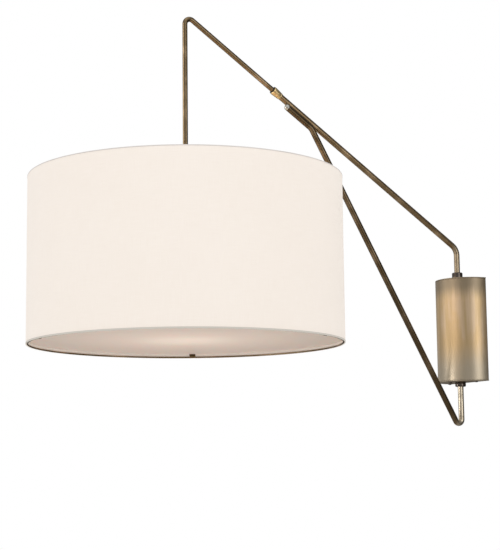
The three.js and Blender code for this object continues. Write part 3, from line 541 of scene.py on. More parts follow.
def bright_brass():
    """Polished brass, warm, with fine turning lines and a few duller clouds."""
    finish = Finish("bright_brass", Metallic=1.0)
    clouds = finish.noise(finish.place(), (140, 140, 140), detail=4)
    lines = finish.noise(finish.sheet_place(), (60, 5200, 1), detail=1)
    dull = finish.fade(clouds, 0.35, 0.7)
    finish.feed("Base Color", finish.blend(dull, (0.84, 0.63, 0.32), (0.60, 0.44, 0.22)))
    finish.feed("Roughness", 0.13 + clouds * 0.12 + lines * 0.08)
    finish.bump(lines, 0.00001)
    return finish


# Bluish grey zinc with a slight spangle, milky nylon with flow marks, and matt black rubber, dusty in places.
zinc = mottled(
    "zinc_plate", (320, 320, 320), 3, (0.50, 0.51, 0.52), (0.66, 0.66, 0.65), 0.28, 0.2, Metallic=1.0,
)
nylon = mottled(
    "moulded_nylon", (60, 60, 240), 3, (0.78, 0.75, 0.67), (0.84, 0.81, 0.74), 0.38, 0.15,
    Subsurface_Weight=0.1,
)
rubber = mottled(
    "black_rubber", (400, 400, 400), 3, (0.010, 0.009, 0.008), (0.024, 0.022, 0.020), 0.45, 0.3,
)
polished = bright_brass()
dress(
    zinc, "wall_bracket", "upper_locknut", "lower_locknut", "lower_retainer", "upper_retainer", "stop_lug",
    "stop_pin_right", "stop_pin_left", "cluster_nut",
)
dress(nylon, "terminal_block", "thrust_washer", "collet")
dress(rubber, "stem_grommet", "rod_grommet")
dress(polished, "ground_screw", "terminal_screw_1", "terminal_screw_2", "terminal_screw_3")

# ------------------------ pivot collars
# A flanged bush turned from brass bar, polished and stained dark, one above and one below the housing. The
# tubes of the arm turn in the two bushes.

BUSH_LENGTH = 0.0141  # through the disc, the bracket's flange and the locknut
COLLAR_CHAMFER = 0.0014


def is_closed(outline):
    """Whether the outline joins up clear of the axis, as a tube's does, instead of ending on it."""
    return outline[0, 0] > 1e-9 or outline[-1, 0] > 1e-9


def eased(outline, radius, steps=3):
    """The outline with every corner cut back by radius and rounded by a quadratic curve, except where it ends
    on the axis."""
    before, after = np.roll(outline, 1, 0) - outline, np.roll(outline, -1, 0) - outline
    far_before = np.linalg.norm(before, axis=1, keepdims=True)
    far_after = np.linalg.norm(after, axis=1, keepdims=True)
    start = outline + before * np.minimum(radius / far_before, 0.45)
    end = outline + after * np.minimum(radius / far_after, 0.45)
    t = np.linspace(0, 1, steps + 1)[None, :, None]
    rounded = (1 - t) ** 2 * start[:, None] + 2 * t * (1 - t) * outline[:, None] + t ** 2 * end[:, None]
    if is_closed(outline):
        return rounded.reshape(-1, 2)
    return np.concatenate([outline[:1], rounded[1:-1].reshape(-1, 2), outline[-1:]])


def turned(outline, place, axis=(0, 0, 1), sides=64, ease=0.0003):
    """Solid of revolution: the outline of (radius, height) points, eased, goes round axis from place."""
    outline = eased(np.asarray(outline, float), ease)
    up = np.asarray(axis, float) / np.linalg.norm(axis)
    side = np.cross(up, (1, 0, 0) if abs(up[0]) < 0.9 else (0, 1, 0))
    side /= np.linalg.norm(side)
    angle = np.linspace(0, 2 * np.pi, sides, endpoint=False)
    round_axis = np.cos(angle)[:, None] * side + np.sin(angle)[:, None] * np.cross(up, side)
    points = np.asarray(place) + outline[:, :1, None] * round_axis + outline[:, 1:, None] * up
    return points, is_closed(outline), True


def collar(node, upward):
    """Bush and collar in one outline, drawn from the bearing face towards the open end."""
    low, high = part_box(node)
    radius = (high.x - low.x) / 2
    bore = tube_radius + GAP
    tall = high.z - low.z - BUSH_LENGTH
    outline = [
        (bore, -BUSH_LENGTH), (bush_radius, -BUSH_LENGTH), (bush_radius, 0), (radius, 0),
        (radius, tall - COLLAR_CHAMFER), (radius - COLLAR_CHAMFER, tall), (bore, tall),
    ]
    seat = high.z - tall if upward else low.z + tall
    return turned(outline, (0, pivot.y, seat), (0, 0, 1 if upward else -1), 72, 0.0003)


collar_finish = blackened_brass("stained_collar")
for node, upward in (("upper_collar", True), ("lower_collar", False)):
    piece(f"{node}_turned", [collar(node, upward)], collar_finish, "wall_unit", [node])

# ------------------------ swinging arm
# Two lengths of drawn brass tube, bent cold, antiqued dark and lacquered. The brace turns a hairpin under
# the housing, climbs, and is brazed beside and below the upper tube; a silver-coloured plug closes its end.

TUBE_WALL = 0.00075
UPPER_STEM_BEND = 0.0250
BRACE_SLOPE = math.radians(59.2)
HAIRPIN_INSIDE_BEND = 0.00195
BRACE_TOP_BEND = 0.0180
BRACE_SIDE_ANGLE = math.radians(26)  # from straight below the upper tube towards +X
BRAZE_SPACE = 0.0009
BRAZE_LENGTH = 0.050
BRAZE_WIDTH = 0.0036
STEM_ABOVE_RETAINER = 0.009
PATH_PITCH = 0.004

slide = Vector(joints["arm_extension"]["axis"]).normalized()
slope = math.atan2(slide.z, -slide.y)
brace_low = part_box("brace_tube")[0]
lock_place = Vector(joints["collar_turn"]["pos_m"])
line_height = lock_place.z - (pivot.y - lock_place.y) * math.tan(slope)


def arm_point(reach, height, side=0.0):
    """A point of the arm's plane, or side metres from it towards +X."""
    return np.array([side, pivot.y - reach, height])


def tube_point(run, above=0.0, side=0.0):
    """A point on the upper tube's line, or on a line next to it: run is measured from the swing axis."""
    return arm_point(
        run * math.cos(slope) - above * math.sin(slope),
        line_height + run * math.sin(slope) + above * math.cos(slope), side,
    )


def run_of(y, edge):
    """The run at which a square-cut tube end of this edge radius reaches y."""
    return (pivot.y - y - edge * math.sin(slope)) / math.cos(slope)


tube_run = run_of(tube_low.y, tube_radius)
hairpin_bend = tube_radius + HAIRPIN_INSIDE_BEND
brace_offset = 2 * tube_radius + BRAZE_SPACE
brace_below = brace_offset * math.cos(BRACE_SIDE_ANGLE)
brace_side = brace_offset * math.sin(BRACE_SIDE_ANGLE)
beside = line_height - brace_below / math.cos(slope)
hairpin_turn = math.pi / 2 + BRACE_SLOPE
brace_line = brace_low.z + tube_radius - hairpin_bend * (math.tan(hairpin_turn / 2) - 1)


def route(start, corners, end, steps=14):
    """Points of straight runs joined by arcs: corners are (point, bend radius), and each arc, tangent to the
    runs on both its sides, has steps pieces."""
    places = [np.asarray(p, float) for p in (start, *(c for c, _ in corners), end)]
    path = [places[0]]
    for i, (_, bend) in enumerate(corners, 1):
        come = places[i] - places[i - 1]
        go = places[i + 1] - places[i]
        come, go = come / np.linalg.norm(come), go / np.linalg.norm(go)
        turn = math.acos(np.dot(come, go))
        side = go - come * np.dot(come, go)
        side /= np.linalg.norm(side)
        angle = np.linspace(0, turn, steps + 1)[:, None]
        begin = places[i] - come * bend * math.tan(turn / 2)
        path.append(begin + come * bend * np.sin(angle) + side * bend * (1 - np.cos(angle)))
    path.append(places[-1])
    return np.vstack(path)


def refined(path, pitch):
    """The path with points added so that no straight run is longer than pitch."""
    pieces = [path[:1]]
    for a, b in zip(path[:-1], path[1:]):
        count = max(1, math.ceil(np.linalg.norm(b - a) / pitch))
        pieces.append(a + (b - a) * (np.arange(1, count + 1) / count)[:, None])
    return np.vstack(pieces)


def tube(path, radius, wall=None, sides=48, ease=0.00035):
    """Round tube along a path near the x = 0 plane: at each point a circle square to the path, drawn on the x
    axis less its part along the path and on the cross product of the two, with eased ends. With no wall it
    is a solid bar."""
    step = np.diff(path, axis=0)
    step /= np.linalg.norm(step, axis=1, keepdims=True)
    along = np.vstack([step[:1], step[:-1] + step[1:], step[-1:]])
    along /= np.linalg.norm(along, axis=1, keepdims=True)
    side = np.array([1.0, 0, 0]) - along[:, :1] * along
    side /= np.linalg.norm(side, axis=1, keepdims=True)
    over = np.cross(along, side)
    angle = np.linspace(0, 2 * np.pi, sides, endpoint=False)[None, :, None]
    circle = np.cos(angle) * side[:, None] + np.sin(angle) * over[:, None]
    inside = 0.0 if wall is None else radius - wall
    last = len(path) - 1
    cut = np.array([ease, ease * 0.3, 0.0])  # back from the end, for the three rings of an eased edge
    ring = [(0, c, radius - d) for c, d in zip(cut[::-1], cut)]
    ring += [(i, 0.0, radius) for i in range(1, last)]
    ring += [(last, -c, radius - d) for c, d in zip(cut, cut[::-1])]
    if wall is None:
        ring = [(0, 0.0, 0.0), *ring, (last, 0.0, 0.0)]
    else:
        ring += [(last, -c, inside + d) for c, d in zip(cut[::-1], cut)]
        ring += [(i, 0.0, inside) for i in range(last - 1, 0, -1)]
        ring += [(0, c, inside + d) for c, d in zip(cut, cut[::-1])]
    index = np.array([r[0] for r in ring])
    shift = np.array([r[1] for r in ring])[:, None, None]
    size = np.array([r[2] for r in ring])[:, None, None]
    points = path[index][:, None] + along[index][:, None] * shift + circle[index] * size
    return points, wall is not None, True


def antiqued_tube(name, stem_highlight=0.0, light=1.0):
    """Lacquered antique brass on a drawn tube: dark olive brown with lighter rubbed lengths and drawing
    lines. The stems near the swing axis get a painted highlight, bright in patches, by stem_highlight, from 0
    to 1. light scales all the colours; on the arm's tubes, which are one brass, it paints the light each
    gets."""
    finish = Finish(name, Metallic=1.0)
    lines = finish.noise(finish.sheet_place(), (2600, 14, 1), detail=2, roughness=0.7)
    rubbed = finish.noise(finish.place(), (22, 22, 22), detail=3)
    mottle = finish.noise(finish.place(), (70, 70, 70), detail=3)
    dark, pale, bare = ((light * r, light * g, light * b) for r, g, b in (
        (0.105, 0.072, 0.036), (0.17, 0.122, 0.070), (0.28, 0.205, 0.125),
    ))
    aged = finish.blend(finish.fade(rubbed, 0.48, 0.72), finish.blend(mottle, dark, pale), bare)
    # Painted highlight: the upright stems near the swing axis turn bright in patches.
    if stem_highlight:
        on_stem = finish.fade(finish.from_axis(pivot.y), 0.009, 0.020, 1.0, 0.0)
        patchy_highlight = finish.fade(mottle, 0.30, 0.55, stem_highlight * 0.7, stem_highlight)
        aged = finish.blend(on_stem * patchy_highlight, aged, (0.80, 0.70, 0.54))
    finish.feed("Base Color", aged)
    finish.feed("Roughness", 0.17 + mottle * 0.08 + lines * 0.08)
    finish.bump(lines, 0.000006)
    return finish


solder = mottled(  # grey white and a little pitted
    "silver_braze", (420, 420, 420), 4, (0.44, 0.43, 0.39), (0.66, 0.65, 0.60), 0.24, 0.2, 0.00012,
    Metallic=1.0,
)
upper_path = refined(route(
    arm_point(0, tube_low.z), [(arm_point(0, line_height), UPPER_STEM_BEND)], tube_point(tube_run),
), PATH_PITCH)
# Painted light: the upper tube, the brace and the rod are one brass, made lighter or darker each.
piece(
    "upper_tube_drawn", [tube(upper_path, tube_radius, TUBE_WALL)],
    antiqued_tube("antiqued_upper_tube", 0.30, 2.0), "arm", ["upper_tube"],
)

brace_reach = (beside - brace_line) / (math.tan(BRACE_SLOPE) - math.tan(slope))
brace_top = arm_point(brace_reach, beside + brace_reach * math.tan(slope), brace_side)
brace_run = run_of(brace_low.y, brace_below + tube_radius)
brace_stem_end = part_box("lower_retainer")[1].z + STEM_ABOVE_RETAINER
brace_path = refined(route(
    arm_point(0, brace_stem_end), [(arm_point(0, brace_line), hairpin_bend), (brace_top, BRACE_TOP_BEND)],
    tube_point(brace_run, -brace_below, brace_side),
), PATH_PITCH)
# Painted light: the brace's copy of the brass is darker than the upper tube's.
piece(
    "brace_tube_drawn", [tube(brace_path, tube_radius, TUBE_WALL)],
    antiqued_tube("antiqued_brace", 0.95, 0.85), "arm", ["brace_tube"],
)

along_tube = np.array([0.0, -math.cos(slope), math.sin(slope)])

# Domed plug: a spigot inside the tube, a short band, then a crown in a quarter of an ellipse.
CAP_CROWN = 0.0083
CAP_BAND = 0.0022
CAP_SPIGOT = 0.0080
cap_bore = tube_radius - TUBE_WALL - GAP
crown = np.linspace(0, np.pi / 2, 12)[:-1]
cap_outline = [
    (0, -CAP_SPIGOT), (cap_bore, -CAP_SPIGOT), (cap_bore, GAP), (tube_radius, GAP),
    *zip(tube_radius * np.cos(crown), CAP_BAND + (CAP_CROWN - CAP_BAND) * np.sin(crown)), (0, CAP_CROWN),
]
piece(
    "brace_end_plug",
    [turned(cap_outline, tube_point(brace_run, -brace_below, brace_side), along_tube, 48, 0.0001)],
    solder, "arm", ["brace_end_cap"],
)


def braze_fillet():
    """Filler between the two tubes: above and below it is hollowed by them, so it is thinnest in the middle,
    and its width falls with a square root over the last few millimetres at both ends."""
    groove = tube_radius + GAP
    s = np.linspace(0, 1, 60)
    taper = np.sqrt(np.clip(np.minimum(s, 1 - s) / 0.08, 0, 1))
    run = (brace_run - BRAZE_LENGTH * (1 - s))[:, None]
    x = np.concatenate([np.linspace(-1, 1, 13), np.linspace(1, -1, 13)])
    width = BRAZE_WIDTH / 2 * (0.35 + 0.65 * taper)[:, None] * x
    drop = groove - np.sqrt(groove ** 2 - width ** 2)
    above = np.concatenate([np.ones(13), -np.ones(13)])
    height = -brace_offset / 2 + above * (brace_offset / 2 - groove + drop)
    side = width * math.cos(BRACE_SIDE_ANGLE) - height * math.sin(BRACE_SIDE_ANGLE)
    up = width * math.sin(BRACE_SIDE_ANGLE) + height * math.cos(BRACE_SIDE_ANGLE)
    points = np.stack([
        side, pivot.y - run * math.cos(slope) + up * math.sin(slope),
        line_height + run * math.sin(slope) + up * math.cos(slope),
    ], 2)
    return closed_ends(points), False, True


# The filler is drawn nearly black: painted shadow in the gap between the two tubes.
piece(
    "braze_fillet", [braze_fillet()],
    antiqued_tube("braze_in_painted_shadow", light=0.12), "arm", ["braze_strip"],
)

# ------------------------ lock collar
# A cone turned from brass and polished, that screws down on a nylon collet and grips the rod. A dark ring
# closes its front.

COLLAR_LENGTH = 0.020
COLLAR_BACK_ROLL = 0.0015
COLLAR_LIP = 0.0022
COLLAR_FRONT = 0.0083
COLLAR_BACK = 0.0070
LOCK_RING = 0.0076
LOCK_RING_LENGTH = 0.0014
COLLAR_ON_TUBE = 0.004
ROD_BORE = 0.0053
COLLAR_BORE = tube_radius + GAP
GROOVE = 0.00025
collar_outline = [
    (COLLAR_BORE, 0), (COLLAR_BACK, 0), (COLLAR_BACK, COLLAR_BACK_ROLL),
    (COLLAR_BACK - GROOVE, COLLAR_BACK_ROLL + GROOVE), (COLLAR_BACK + 0.00005, COLLAR_BACK_ROLL + 0.0008),
    (COLLAR_FRONT - 0.0001, COLLAR_LENGTH - COLLAR_LIP - 0.0016),
    (COLLAR_FRONT - 0.0001 - GROOVE, COLLAR_LENGTH - COLLAR_LIP - 0.0012),
    (COLLAR_FRONT, COLLAR_LENGTH - COLLAR_LIP - 0.0007), (COLLAR_FRONT - 0.0002, COLLAR_LENGTH - 0.0005),
    (COLLAR_FRONT - 0.0006, COLLAR_LENGTH), (ROD_BORE + 0.0012, COLLAR_LENGTH),
    (ROD_BORE, COLLAR_LENGTH - COLLAR_LIP + 0.0005), (ROD_BORE, COLLAR_LENGTH - COLLAR_LIP),
    (COLLAR_BORE, COLLAR_LENGTH - COLLAR_LIP),
]
collar_run = tube_run - COLLAR_ON_TUBE
piece(
    "lock_collar_turned", [turned(collar_outline, tube_point(collar_run), along_tube, 72, 0.00015)],
    polished, "lock", ["lock_collar"], 30,
)
ring_outline = [(ROD_BORE, 0), (LOCK_RING, 0), (LOCK_RING, LOCK_RING_LENGTH), (ROD_BORE, LOCK_RING_LENGTH)]
piece(
    "lock_ring_turned",
    [turned(ring_outline, tube_point(collar_run + COLLAR_LENGTH + GAP), along_tube, 64, 0.0004)],
    blackened_brass("blackened_ring", 0.3), "lock", ["lock_ring"],
)

# ------------------------ telescoping rod
# A thinner brass tube that slides in the upper tube and bends down to carry the shade.

ELBOW_BEND = 0.011
ROD_WALL = 0.0011

rod_low, rod_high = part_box("extension_rod")
shade_low, shade_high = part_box("shade_drum")
shade_y = (shade_low.y + shade_high.y) / 2
rod_radius = (rod_high.x - rod_low.x) / 2
shade_reach = pivot.y - shade_y
rod_inner_run = (pivot.y - rod_high.y + rod_radius * math.sin(slope)) / math.cos(slope)
elbow = arm_point(shade_reach, line_height + shade_reach * math.tan(slope))
rod_path = refined(route(
    tube_point(rod_inner_run), [(elbow, ELBOW_BEND)], arm_point(shade_reach, rod_low.z), 18,
), PATH_PITCH)
# Painted light: the rod's copy of the brass is lighter than the brace's.
piece(
    "extension_rod_drawn", [tube(rod_path, rod_radius, ROD_WALL)],
    antiqued_tube("antiqued_rod", light=1.45), "extension", ["extension_rod"],
)

# ------------------------ shade frame
# Steel wire: a ring at each rim, dark brown at the bottom and painted white at the top, and in the top one
# three white spokes that run down to a washer. Three dark brown clips sit on the bottom ring.

RING_WIRE = 0.0016
SPOKE_WIRE = 0.0022
SPOKE_WELD = 0.003
SPOKE_LEVEL = 0.012
SPOKE_BEND = 0.015
HUB_HOLE = rod_radius + GAP
SHADE_SKIN = 0.0012
HUB_RIM = 0.004

shade_radius = (shade_high.x - shade_low.x) / 2
ring_radius = shade_radius - SHADE_SKIN - GAP - RING_WIRE
shade_centre = np.array([0.0, shade_y, 0.0])
hub_low_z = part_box("hub_nut_lower")[1].z + GAP
hub_high_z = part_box("hub_nut_upper")[0].z - GAP
hub_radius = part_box("hub_nut_lower")[1].x + HUB_RIM


def wire_ring(height, radius, wire):
    """Torus: a small circle of the wire carried round the shade's axis."""
    a = np.linspace(0, 2 * np.pi, 180, endpoint=False)[:, None]
    b = np.linspace(0, 2 * np.pi, 14, endpoint=False)[None, :]
    out_from = radius + wire * np.cos(b)
    return np.stack([
        out_from * np.cos(a), shade_y + out_from * np.sin(a), height + wire * np.sin(b) + 0 * a,
    ], 2), True, True


def spoke(angle):
    """A solid wire from the hub's top face, level at first, then sloping straight up to the ring."""
    top, middle = shade_high.z - RING_WIRE - GAP, (hub_high_z + hub_low_z) / 2
    inner, bend_at = hub_radius - SPOKE_WELD, hub_radius + SPOKE_LEVEL
    bends = [((0, bend_at, middle), SPOKE_BEND)]
    flat = refined(route((0, inner, middle), bends, (0, ring_radius, top), 8), 0.02)
    points, close_rows, close_columns = tube(flat, SPOKE_WIRE, None, 16, 0.0002)
    x, y = points[..., 0].copy(), points[..., 1].copy()
    points[..., 0] = y * math.cos(angle) - x * math.sin(angle)
    points[..., 1] = y * math.sin(angle) + x * math.cos(angle) + shade_y
    return points, close_rows, close_columns


paint = mottled(  # stoved white paint, with a slight orange-peel texture
    "white_paint", (900, 900, 900), 3, (0.76, 0.73, 0.68), (0.83, 0.80, 0.75), 0.30, 0.12, 0.00004,
    Coat_Weight=0.3,
)
dark_wire = antiqued_tube("dark_brown_wire", light=1.6)
dress(dark_wire, "diffuser_clip_1", "diffuser_clip_2", "diffuser_clip_3")
top_ring_z = shade_high.z - RING_WIRE - GAP
bottom_ring_z = shade_low.z + RING_WIRE + GAP
hub_outline = [
    (HUB_HOLE, hub_low_z), (hub_radius, hub_low_z), (hub_radius, hub_high_z), (HUB_HOLE, hub_high_z),
]
piece(
    "spider_welded",
    [wire_ring(top_ring_z, ring_radius, RING_WIRE), turned(hub_outline, shade_centre, (0, 0, 1), 48, 0.0004)]
    + [spoke(math.pi / 2 + i * 2 * math.pi / 3) for i in range(3)],
    paint, "extension", ["spider_frame"],
)
piece(
    "bottom_wire_ring", [wire_ring(bottom_ring_z, ring_radius, RING_WIRE)],
    dark_wire, "extension", ["bottom_ring"],
)

# ------------------------ shade cloth
# Off-white linen laminated on a clear backing, rolled into a drum; its lap, behind the rod on the wall side,
# is not drawn. Its edges are turned over the rings, which leaves a hem a few millimetres tall outside and
# inside.

TOP_HEM = 0.0020
BOTTOM_HEM = 0.0032
HEM_PROUD = 0.00035
HEM_INSIDE = 0.0002
HEM_THICKNESS = 0.0003
HEM_CLEAR = 0.0004  # from the cloth's cut edge to the fold
WEAVE_PITCH = 0.0009
CLOTH_WAVE = 0.0006


def linen(name, base, slub, glow, glow_strength, shaded_outside=False):
    """Plain weave in the piece's own UV: threads both ways as bump, slubs along both as faint tone. With
    shaded_outside, a hem is greyer and loses its glow on its outside: painted shade, where less of the lamps'
    light comes through."""
    finish = Finish(
        name, Roughness=0.9, Sheen_Weight=0.15, Sheen_Roughness=0.5, Emission_Strength=glow_strength,
        Specular_IOR_Level=0.2,
    )
    uv = finish.sheet_place()
    turn_rate = 2 * math.pi / WEAVE_PITCH
    warp, weft = (
        finish.node("ShaderNodeMath", {0: finish.coordinate(uv, axis) * turn_rate}, operation="SINE")
        for axis in (0, 1)
    )
    weave = warp * weft
    along = finish.noise(uv, (30, 1100, 1), detail=2)
    upward = finish.noise(uv, (1100, 30, 1), detail=2)
    cloud = finish.noise(finish.place(), (7, 7, 7), detail=2)
    tone = along * 0.4 + upward * 0.4 + cloud * 0.2
    cloth_tone = finish.blend(finish.fade(tone, 0.38, 0.62), slub, base)
    lit = finish.blend(cloud, glow, tuple(0.94 * c for c in glow))
    if shaded_outside:
        # Painted shade: the hem's outside is greyer and does not glow.
        outside = finish.fade(finish.from_axis(shade_y), shade_radius - SHADE_SKIN, shade_radius)
        cloth_tone = finish.blend(outside, cloth_tone, (0.64, 0.60, 0.54))
        lit = finish.blend(outside, lit, (0.1, 0.1, 0.1))
    finish.feed("Base Color", cloth_tone)
    finish.feed("Emission Color", lit)
    finish.bump(weave * 0.5 + along * 0.9 + upward * 0.9, 0.00009)
    return finish


def drum_wall(radius_out, radius_in, low, high, wave, sides=288, levels=24):
    """Closed sleeve: outer wall up, eased rim, inner wall down, eased rim. wave lets the wall in and out a
    little, in slow ripples round the drum that die away at the rings."""
    t = np.linspace(0, 1, levels)
    edge = (radius_out - radius_in) / 2
    roll = np.linspace(0, np.pi, 7)[1:-1]
    middle = (radius_out + radius_in) / 2
    rows = [(radius_out, low + edge + (high - low - 2 * edge) * s) for s in t]
    rows += [(middle + edge * math.cos(a), high - edge + edge * math.sin(a)) for a in roll]
    rows += [(radius_in, high - edge - (high - low - 2 * edge) * s) for s in t]
    rows += [(middle - edge * math.cos(a), low + edge - edge * math.sin(a)) for a in roll]
    rows = np.array(rows)
    a = np.linspace(0, 2 * np.pi, sides, endpoint=False) + np.pi / 2
    share = np.clip((rows[:, 1] - low) / (high - low), 0, 1)
    belly = np.sin(np.pi * share)[:, None]
    ripple = 0.5 * np.sin(5 * a + 0.7) + 0.2 * np.sin(14 * a)
    ripple = ripple + 0.3 * np.sin(9 * a + 2.1 + 2 * share[:, None])
    radius = rows[:, :1] - wave * belly * (1 + ripple) / 2
    z = np.broadcast_to(rows[:, 1:], radius.shape)
    return np.stack([radius * np.cos(a), shade_y + radius * np.sin(a), z], 2), True, True


def hem(rim, away, height):
    """A strip folded over the rim, as a U in section: down the outside, round the edge in half an ellipse, up
    the inside, and back on the same line one thickness further in. away is -1 below a rim and 1 above it."""
    out_r, in_r = shade_radius + HEM_PROUD, shade_radius - SHADE_SKIN - HEM_INSIDE
    middle, half_width = (out_r + in_r) / 2, (out_r - in_r) / 2
    inner_half = half_width - HEM_THICKNESS
    roll = np.linspace(0, np.pi, 9)
    outer = [(out_r, height)]
    outer += zip(middle + half_width * np.cos(roll), half_width * (1 - np.sin(roll)))
    inner = [(in_r, height), (in_r + HEM_THICKNESS, height)]
    inner += zip(middle - inner_half * np.cos(roll), half_width - inner_half * np.sin(roll))
    rows = np.array([*outer, *inner, (out_r - HEM_THICKNESS, height)])
    a = np.linspace(0, 2 * np.pi, 288, endpoint=False)
    z = np.broadcast_to(rim + away * rows[:, 1:], (len(rows), len(a)))
    return np.stack([rows[:, :1] * np.cos(a), shade_y + rows[:, :1] * np.sin(a), z], 2), True, True


# Painted glow: the lamps' light coming through the cloth, drawn as emission.
GLOW = (1.0, 0.90, 0.80)
cloth_finish = linen("linen", (0.905, 0.835, 0.770), (0.880, 0.805, 0.735), GLOW, 0.10)
# The top hem is greyer and barely glows: painted shade along the unlit top rim.
top_hem_shaded_finish = linen("linen_top_hem_shaded", (0.72, 0.68, 0.65), (0.66, 0.62, 0.59), GLOW, 0.02)
bottom_hem_finish = linen("linen_bottom_hem", (0.90, 0.84, 0.77), (0.87, 0.80, 0.73), GLOW, 0.14, True)
cloth_wall = drum_wall(
    shade_radius, shade_radius - SHADE_SKIN, shade_low.z + HEM_CLEAR, shade_high.z - HEM_CLEAR, CLOTH_WAVE,
)
cloth = piece("shade_cloth", [cloth_wall], cloth_finish, "extension", ["shade_drum"], 60)
top_hem = piece(
    "shade_hem_top", [hem(shade_high.z, -1, TOP_HEM)], top_hem_shaded_finish, "extension", [], 60,
)
bottom_hem = piece(
    "shade_hem_bottom", [hem(shade_low.z, 1, BOTTOM_HEM)], bottom_hem_finish, "extension", [], 60,
)

# ------------------------ diffuser
# A disc of opal acrylic with a polished edge, held under the lamps by three clips on the bottom ring.

diffuser_low, diffuser_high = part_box("diffuser")
diffuser_radius = (diffuser_high.x - diffuser_low.x) / 2


def opal_acrylic():
    """Opal sheet lit from behind: warm where the lamps are near, fading towards the rim."""
    finish = Finish("opal_acrylic", Roughness=0.32, Emission_Strength=0.47, Subsurface_Weight=0.2)
    from_middle = finish.from_axis(shade_y)
    near = finish.fade(from_middle, 0.0, diffuser_radius, 1.0, 0.0)
    hot = finish.fade(from_middle, 0.0, 0.12, 1.0, 0.0)
    cloud = finish.noise(finish.place(), (12, 12, 12), detail=2)
    finish.feed("Base Color", finish.blend(cloud, (0.64, 0.56, 0.50), (0.66, 0.58, 0.52)))
    lit = finish.blend(near, (0.20, 0.165, 0.14), (0.62, 0.52, 0.44))
    finish.feed("Emission Color", finish.blend(hot * 0.6, lit, (1.0, 0.86, 0.72)))
    return finish


disc_height = diffuser_high.z - diffuser_low.z
diffuser_outline = [(0, 0), (diffuser_radius, 0), (diffuser_radius, disc_height), (0, disc_height)]
piece(
    "diffuser_disc", [turned(diffuser_outline, (0, shade_y, diffuser_low.z), sides=256, ease=0.0008)],
    opal_acrylic(), "extension", ["diffuser"],
)

# ------------------------ lamp cluster
# A spun brass cup on the end of the rod, closed by a lid, with three ceramic holders on nipples, each with a
# lamp that has a threaded cap and an opal globe.

cup_low, cup_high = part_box("cluster_body")
cluster_radius = (cup_high.x - cup_low.x) / 2
cup_finish = antiqued_tube("antiqued_cluster")
dress(cup_finish, "hub_nut_upper", "hub_nut_lower")
CUP_WALL = 0.002
CUP_CHAMFER = 0.003
LID_TAPER = 0.005
LID_EDGE = 0.0017
cup_outline = [
    (HUB_HOLE, cup_high.z - CUP_WALL), (cluster_radius - CUP_WALL, cup_high.z - CUP_WALL),
    (cluster_radius - CUP_WALL, cup_low.z), (cluster_radius, cup_low.z),
    (cluster_radius, cup_high.z - CUP_CHAMFER), (cluster_radius - CUP_CHAMFER, cup_high.z),
    (HUB_HOLE, cup_high.z),
]
piece(
    "cluster_cup", [turned(cup_outline, shade_centre, sides=96, ease=0.0008)],
    cup_finish, "extension", ["cluster_body"],
)
lid_low, lid_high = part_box("cluster_cap")
lid_outline = [
    (0, lid_low.z), (cluster_radius - LID_TAPER, lid_low.z), (cluster_radius, lid_high.z - LID_EDGE),
    (cluster_radius, lid_high.z), (0, lid_high.z),
]
piece(
    "cluster_lid", [turned(lid_outline, shade_centre, sides=96, ease=0.0008)],
    cup_finish, "extension", ["cluster_cap"],
)

LAMP_TILT = math.radians(30)
LAMP_AXIS_DROP = 0.010
HOLDER_RADIUS = 0.017
HOLDER_WALL = 0.0022
HOLDER_BASE = 0.008
HOLDER_DEPTH = 0.030
NIPPLE_RADIUS = 0.0045
CAP_PROUD = 0.002
CAP_LENGTH = 0.024
THREAD_DEPTH = 0.00045
LAMP_CAP_RADIUS = 0.0126
GLOBE_RADIUS = 0.030
GLOBE_LENGTH = 0.082
NECK_LENGTH = 0.014


def opal_glass():
    """Opal lamp glass, lit softly from inside, whitest away from its neck."""
    finish = Finish("opal_glass", Roughness=0.16, Emission_Strength=1.6, Coat_Weight=0.4)
    cloud = finish.noise(finish.place(), (40, 40, 40), detail=2)
    finish.feed("Base Color", finish.blend(cloud, (0.82, 0.79, 0.74), (0.86, 0.83, 0.78)))
    finish.feed("Emission Color", finish.blend(cloud, (1.0, 0.84, 0.64), (1.0, 0.88, 0.71)))
    return finish


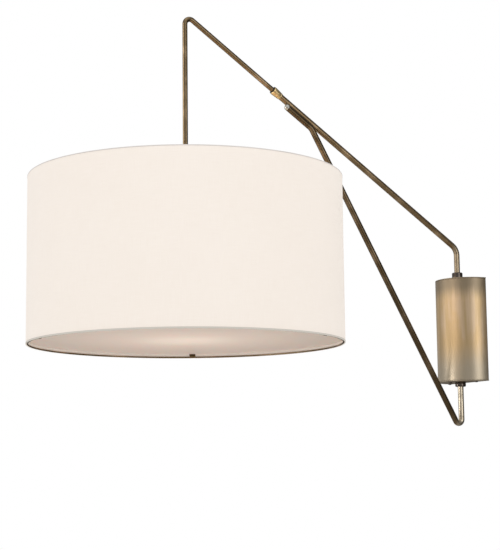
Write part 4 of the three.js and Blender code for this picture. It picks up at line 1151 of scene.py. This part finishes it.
ceramic = mottled(  # white glaze with a faint speckle
    "glazed_ceramic", (500, 500, 500), 4, (0.74, 0.72, 0.68), (0.84, 0.82, 0.78), 0.22, 0.1,
    Coat_Weight=0.6, Coat_Roughness=0.08,
)
plated = mottled(  # nickel, slightly hazed
    "plated_cap", (260, 260, 260), 3, (0.60, 0.59, 0.56), (0.76, 0.75, 0.72), 0.2, 0.18, Metallic=1.0,
)
opal = opal_glass()
lamp_root = np.array([0.0, shade_y, cup_high.z - LAMP_AXIS_DROP])
lid_drop = cup_high.z - LAMP_AXIS_DROP - lid_low.z
holder_start = cluster_radius * math.cos(LAMP_TILT) + GAP + (lid_drop - GAP) * math.sin(LAMP_TILT)
holder_floor = holder_start + HOLDER_BASE
holder_mouth = holder_floor + HOLDER_DEPTH
holder_bore = HOLDER_RADIUS - HOLDER_WALL
nipple_start = cluster_radius - 0.003
holder_outline = [
    (0, nipple_start), (NIPPLE_RADIUS, nipple_start), (NIPPLE_RADIUS, holder_start),
    (HOLDER_RADIUS - 0.003, holder_start), (HOLDER_RADIUS, holder_start + 0.006),
    (HOLDER_RADIUS, holder_mouth), (holder_bore, holder_mouth), (holder_bore, holder_floor),
    (0, holder_floor),
]

# The cap's thread is a wave of six ridges down its side; the globe is a sphere on a short flared neck.
cap_start = holder_floor + CAP_PROUD
cap_end = cap_start + CAP_LENGTH
thread = np.linspace(cap_start + 0.006, cap_end - 0.004, 37)
ridge = LAMP_CAP_RADIUS - THREAD_DEPTH * (1 - np.cos(np.linspace(0, 12 * np.pi, 37))) / 2
cap_profile = [
    (0, cap_start), (LAMP_CAP_RADIUS / 2, cap_start), *zip(ridge, thread),
    (LAMP_CAP_RADIUS, cap_end), (0, cap_end),
]
globe_start = cap_end + GAP
globe_end = globe_start + GLOBE_LENGTH
globe_middle = globe_end - GLOBE_RADIUS
neck = LAMP_CAP_RADIUS + 0.001
swing = np.linspace(math.radians(-42), math.pi / 2, 30)[:-1]
glass = [
    (0, globe_start), (neck, globe_start), (neck + 0.002, globe_start + NECK_LENGTH),
    *zip(GLOBE_RADIUS * np.cos(swing), globe_middle + GLOBE_RADIUS * np.sin(swing)), (0, globe_end),
]

for i in range(3):
    heading = 2 * math.pi * (i + 0.5) / 3
    lamp_axis = np.array([
        math.cos(heading) * math.cos(LAMP_TILT), math.sin(heading) * math.cos(LAMP_TILT),
        -math.sin(LAMP_TILT),
    ])
    for part, outline, sides, ease, finish, slot, smooth in (
        ("lamp_holder_{}_glazed", holder_outline, 64, 0.0012, ceramic, "ceramic", 40),
        ("lamp_cap_{}_threaded", cap_profile, 48, 0.0001, plated, "lamp_cap", 50),
        ("lamp_globe_{}_opal", glass, 64, 0.0010, opal, "opal_glass", 60),
    ):
        name = part.format(i + 1)
        piece(
            name, [turned(outline, lamp_root, lamp_axis, sides, ease)], finish, "extension",
            [name.rpartition("_")[0]], smooth,
        )
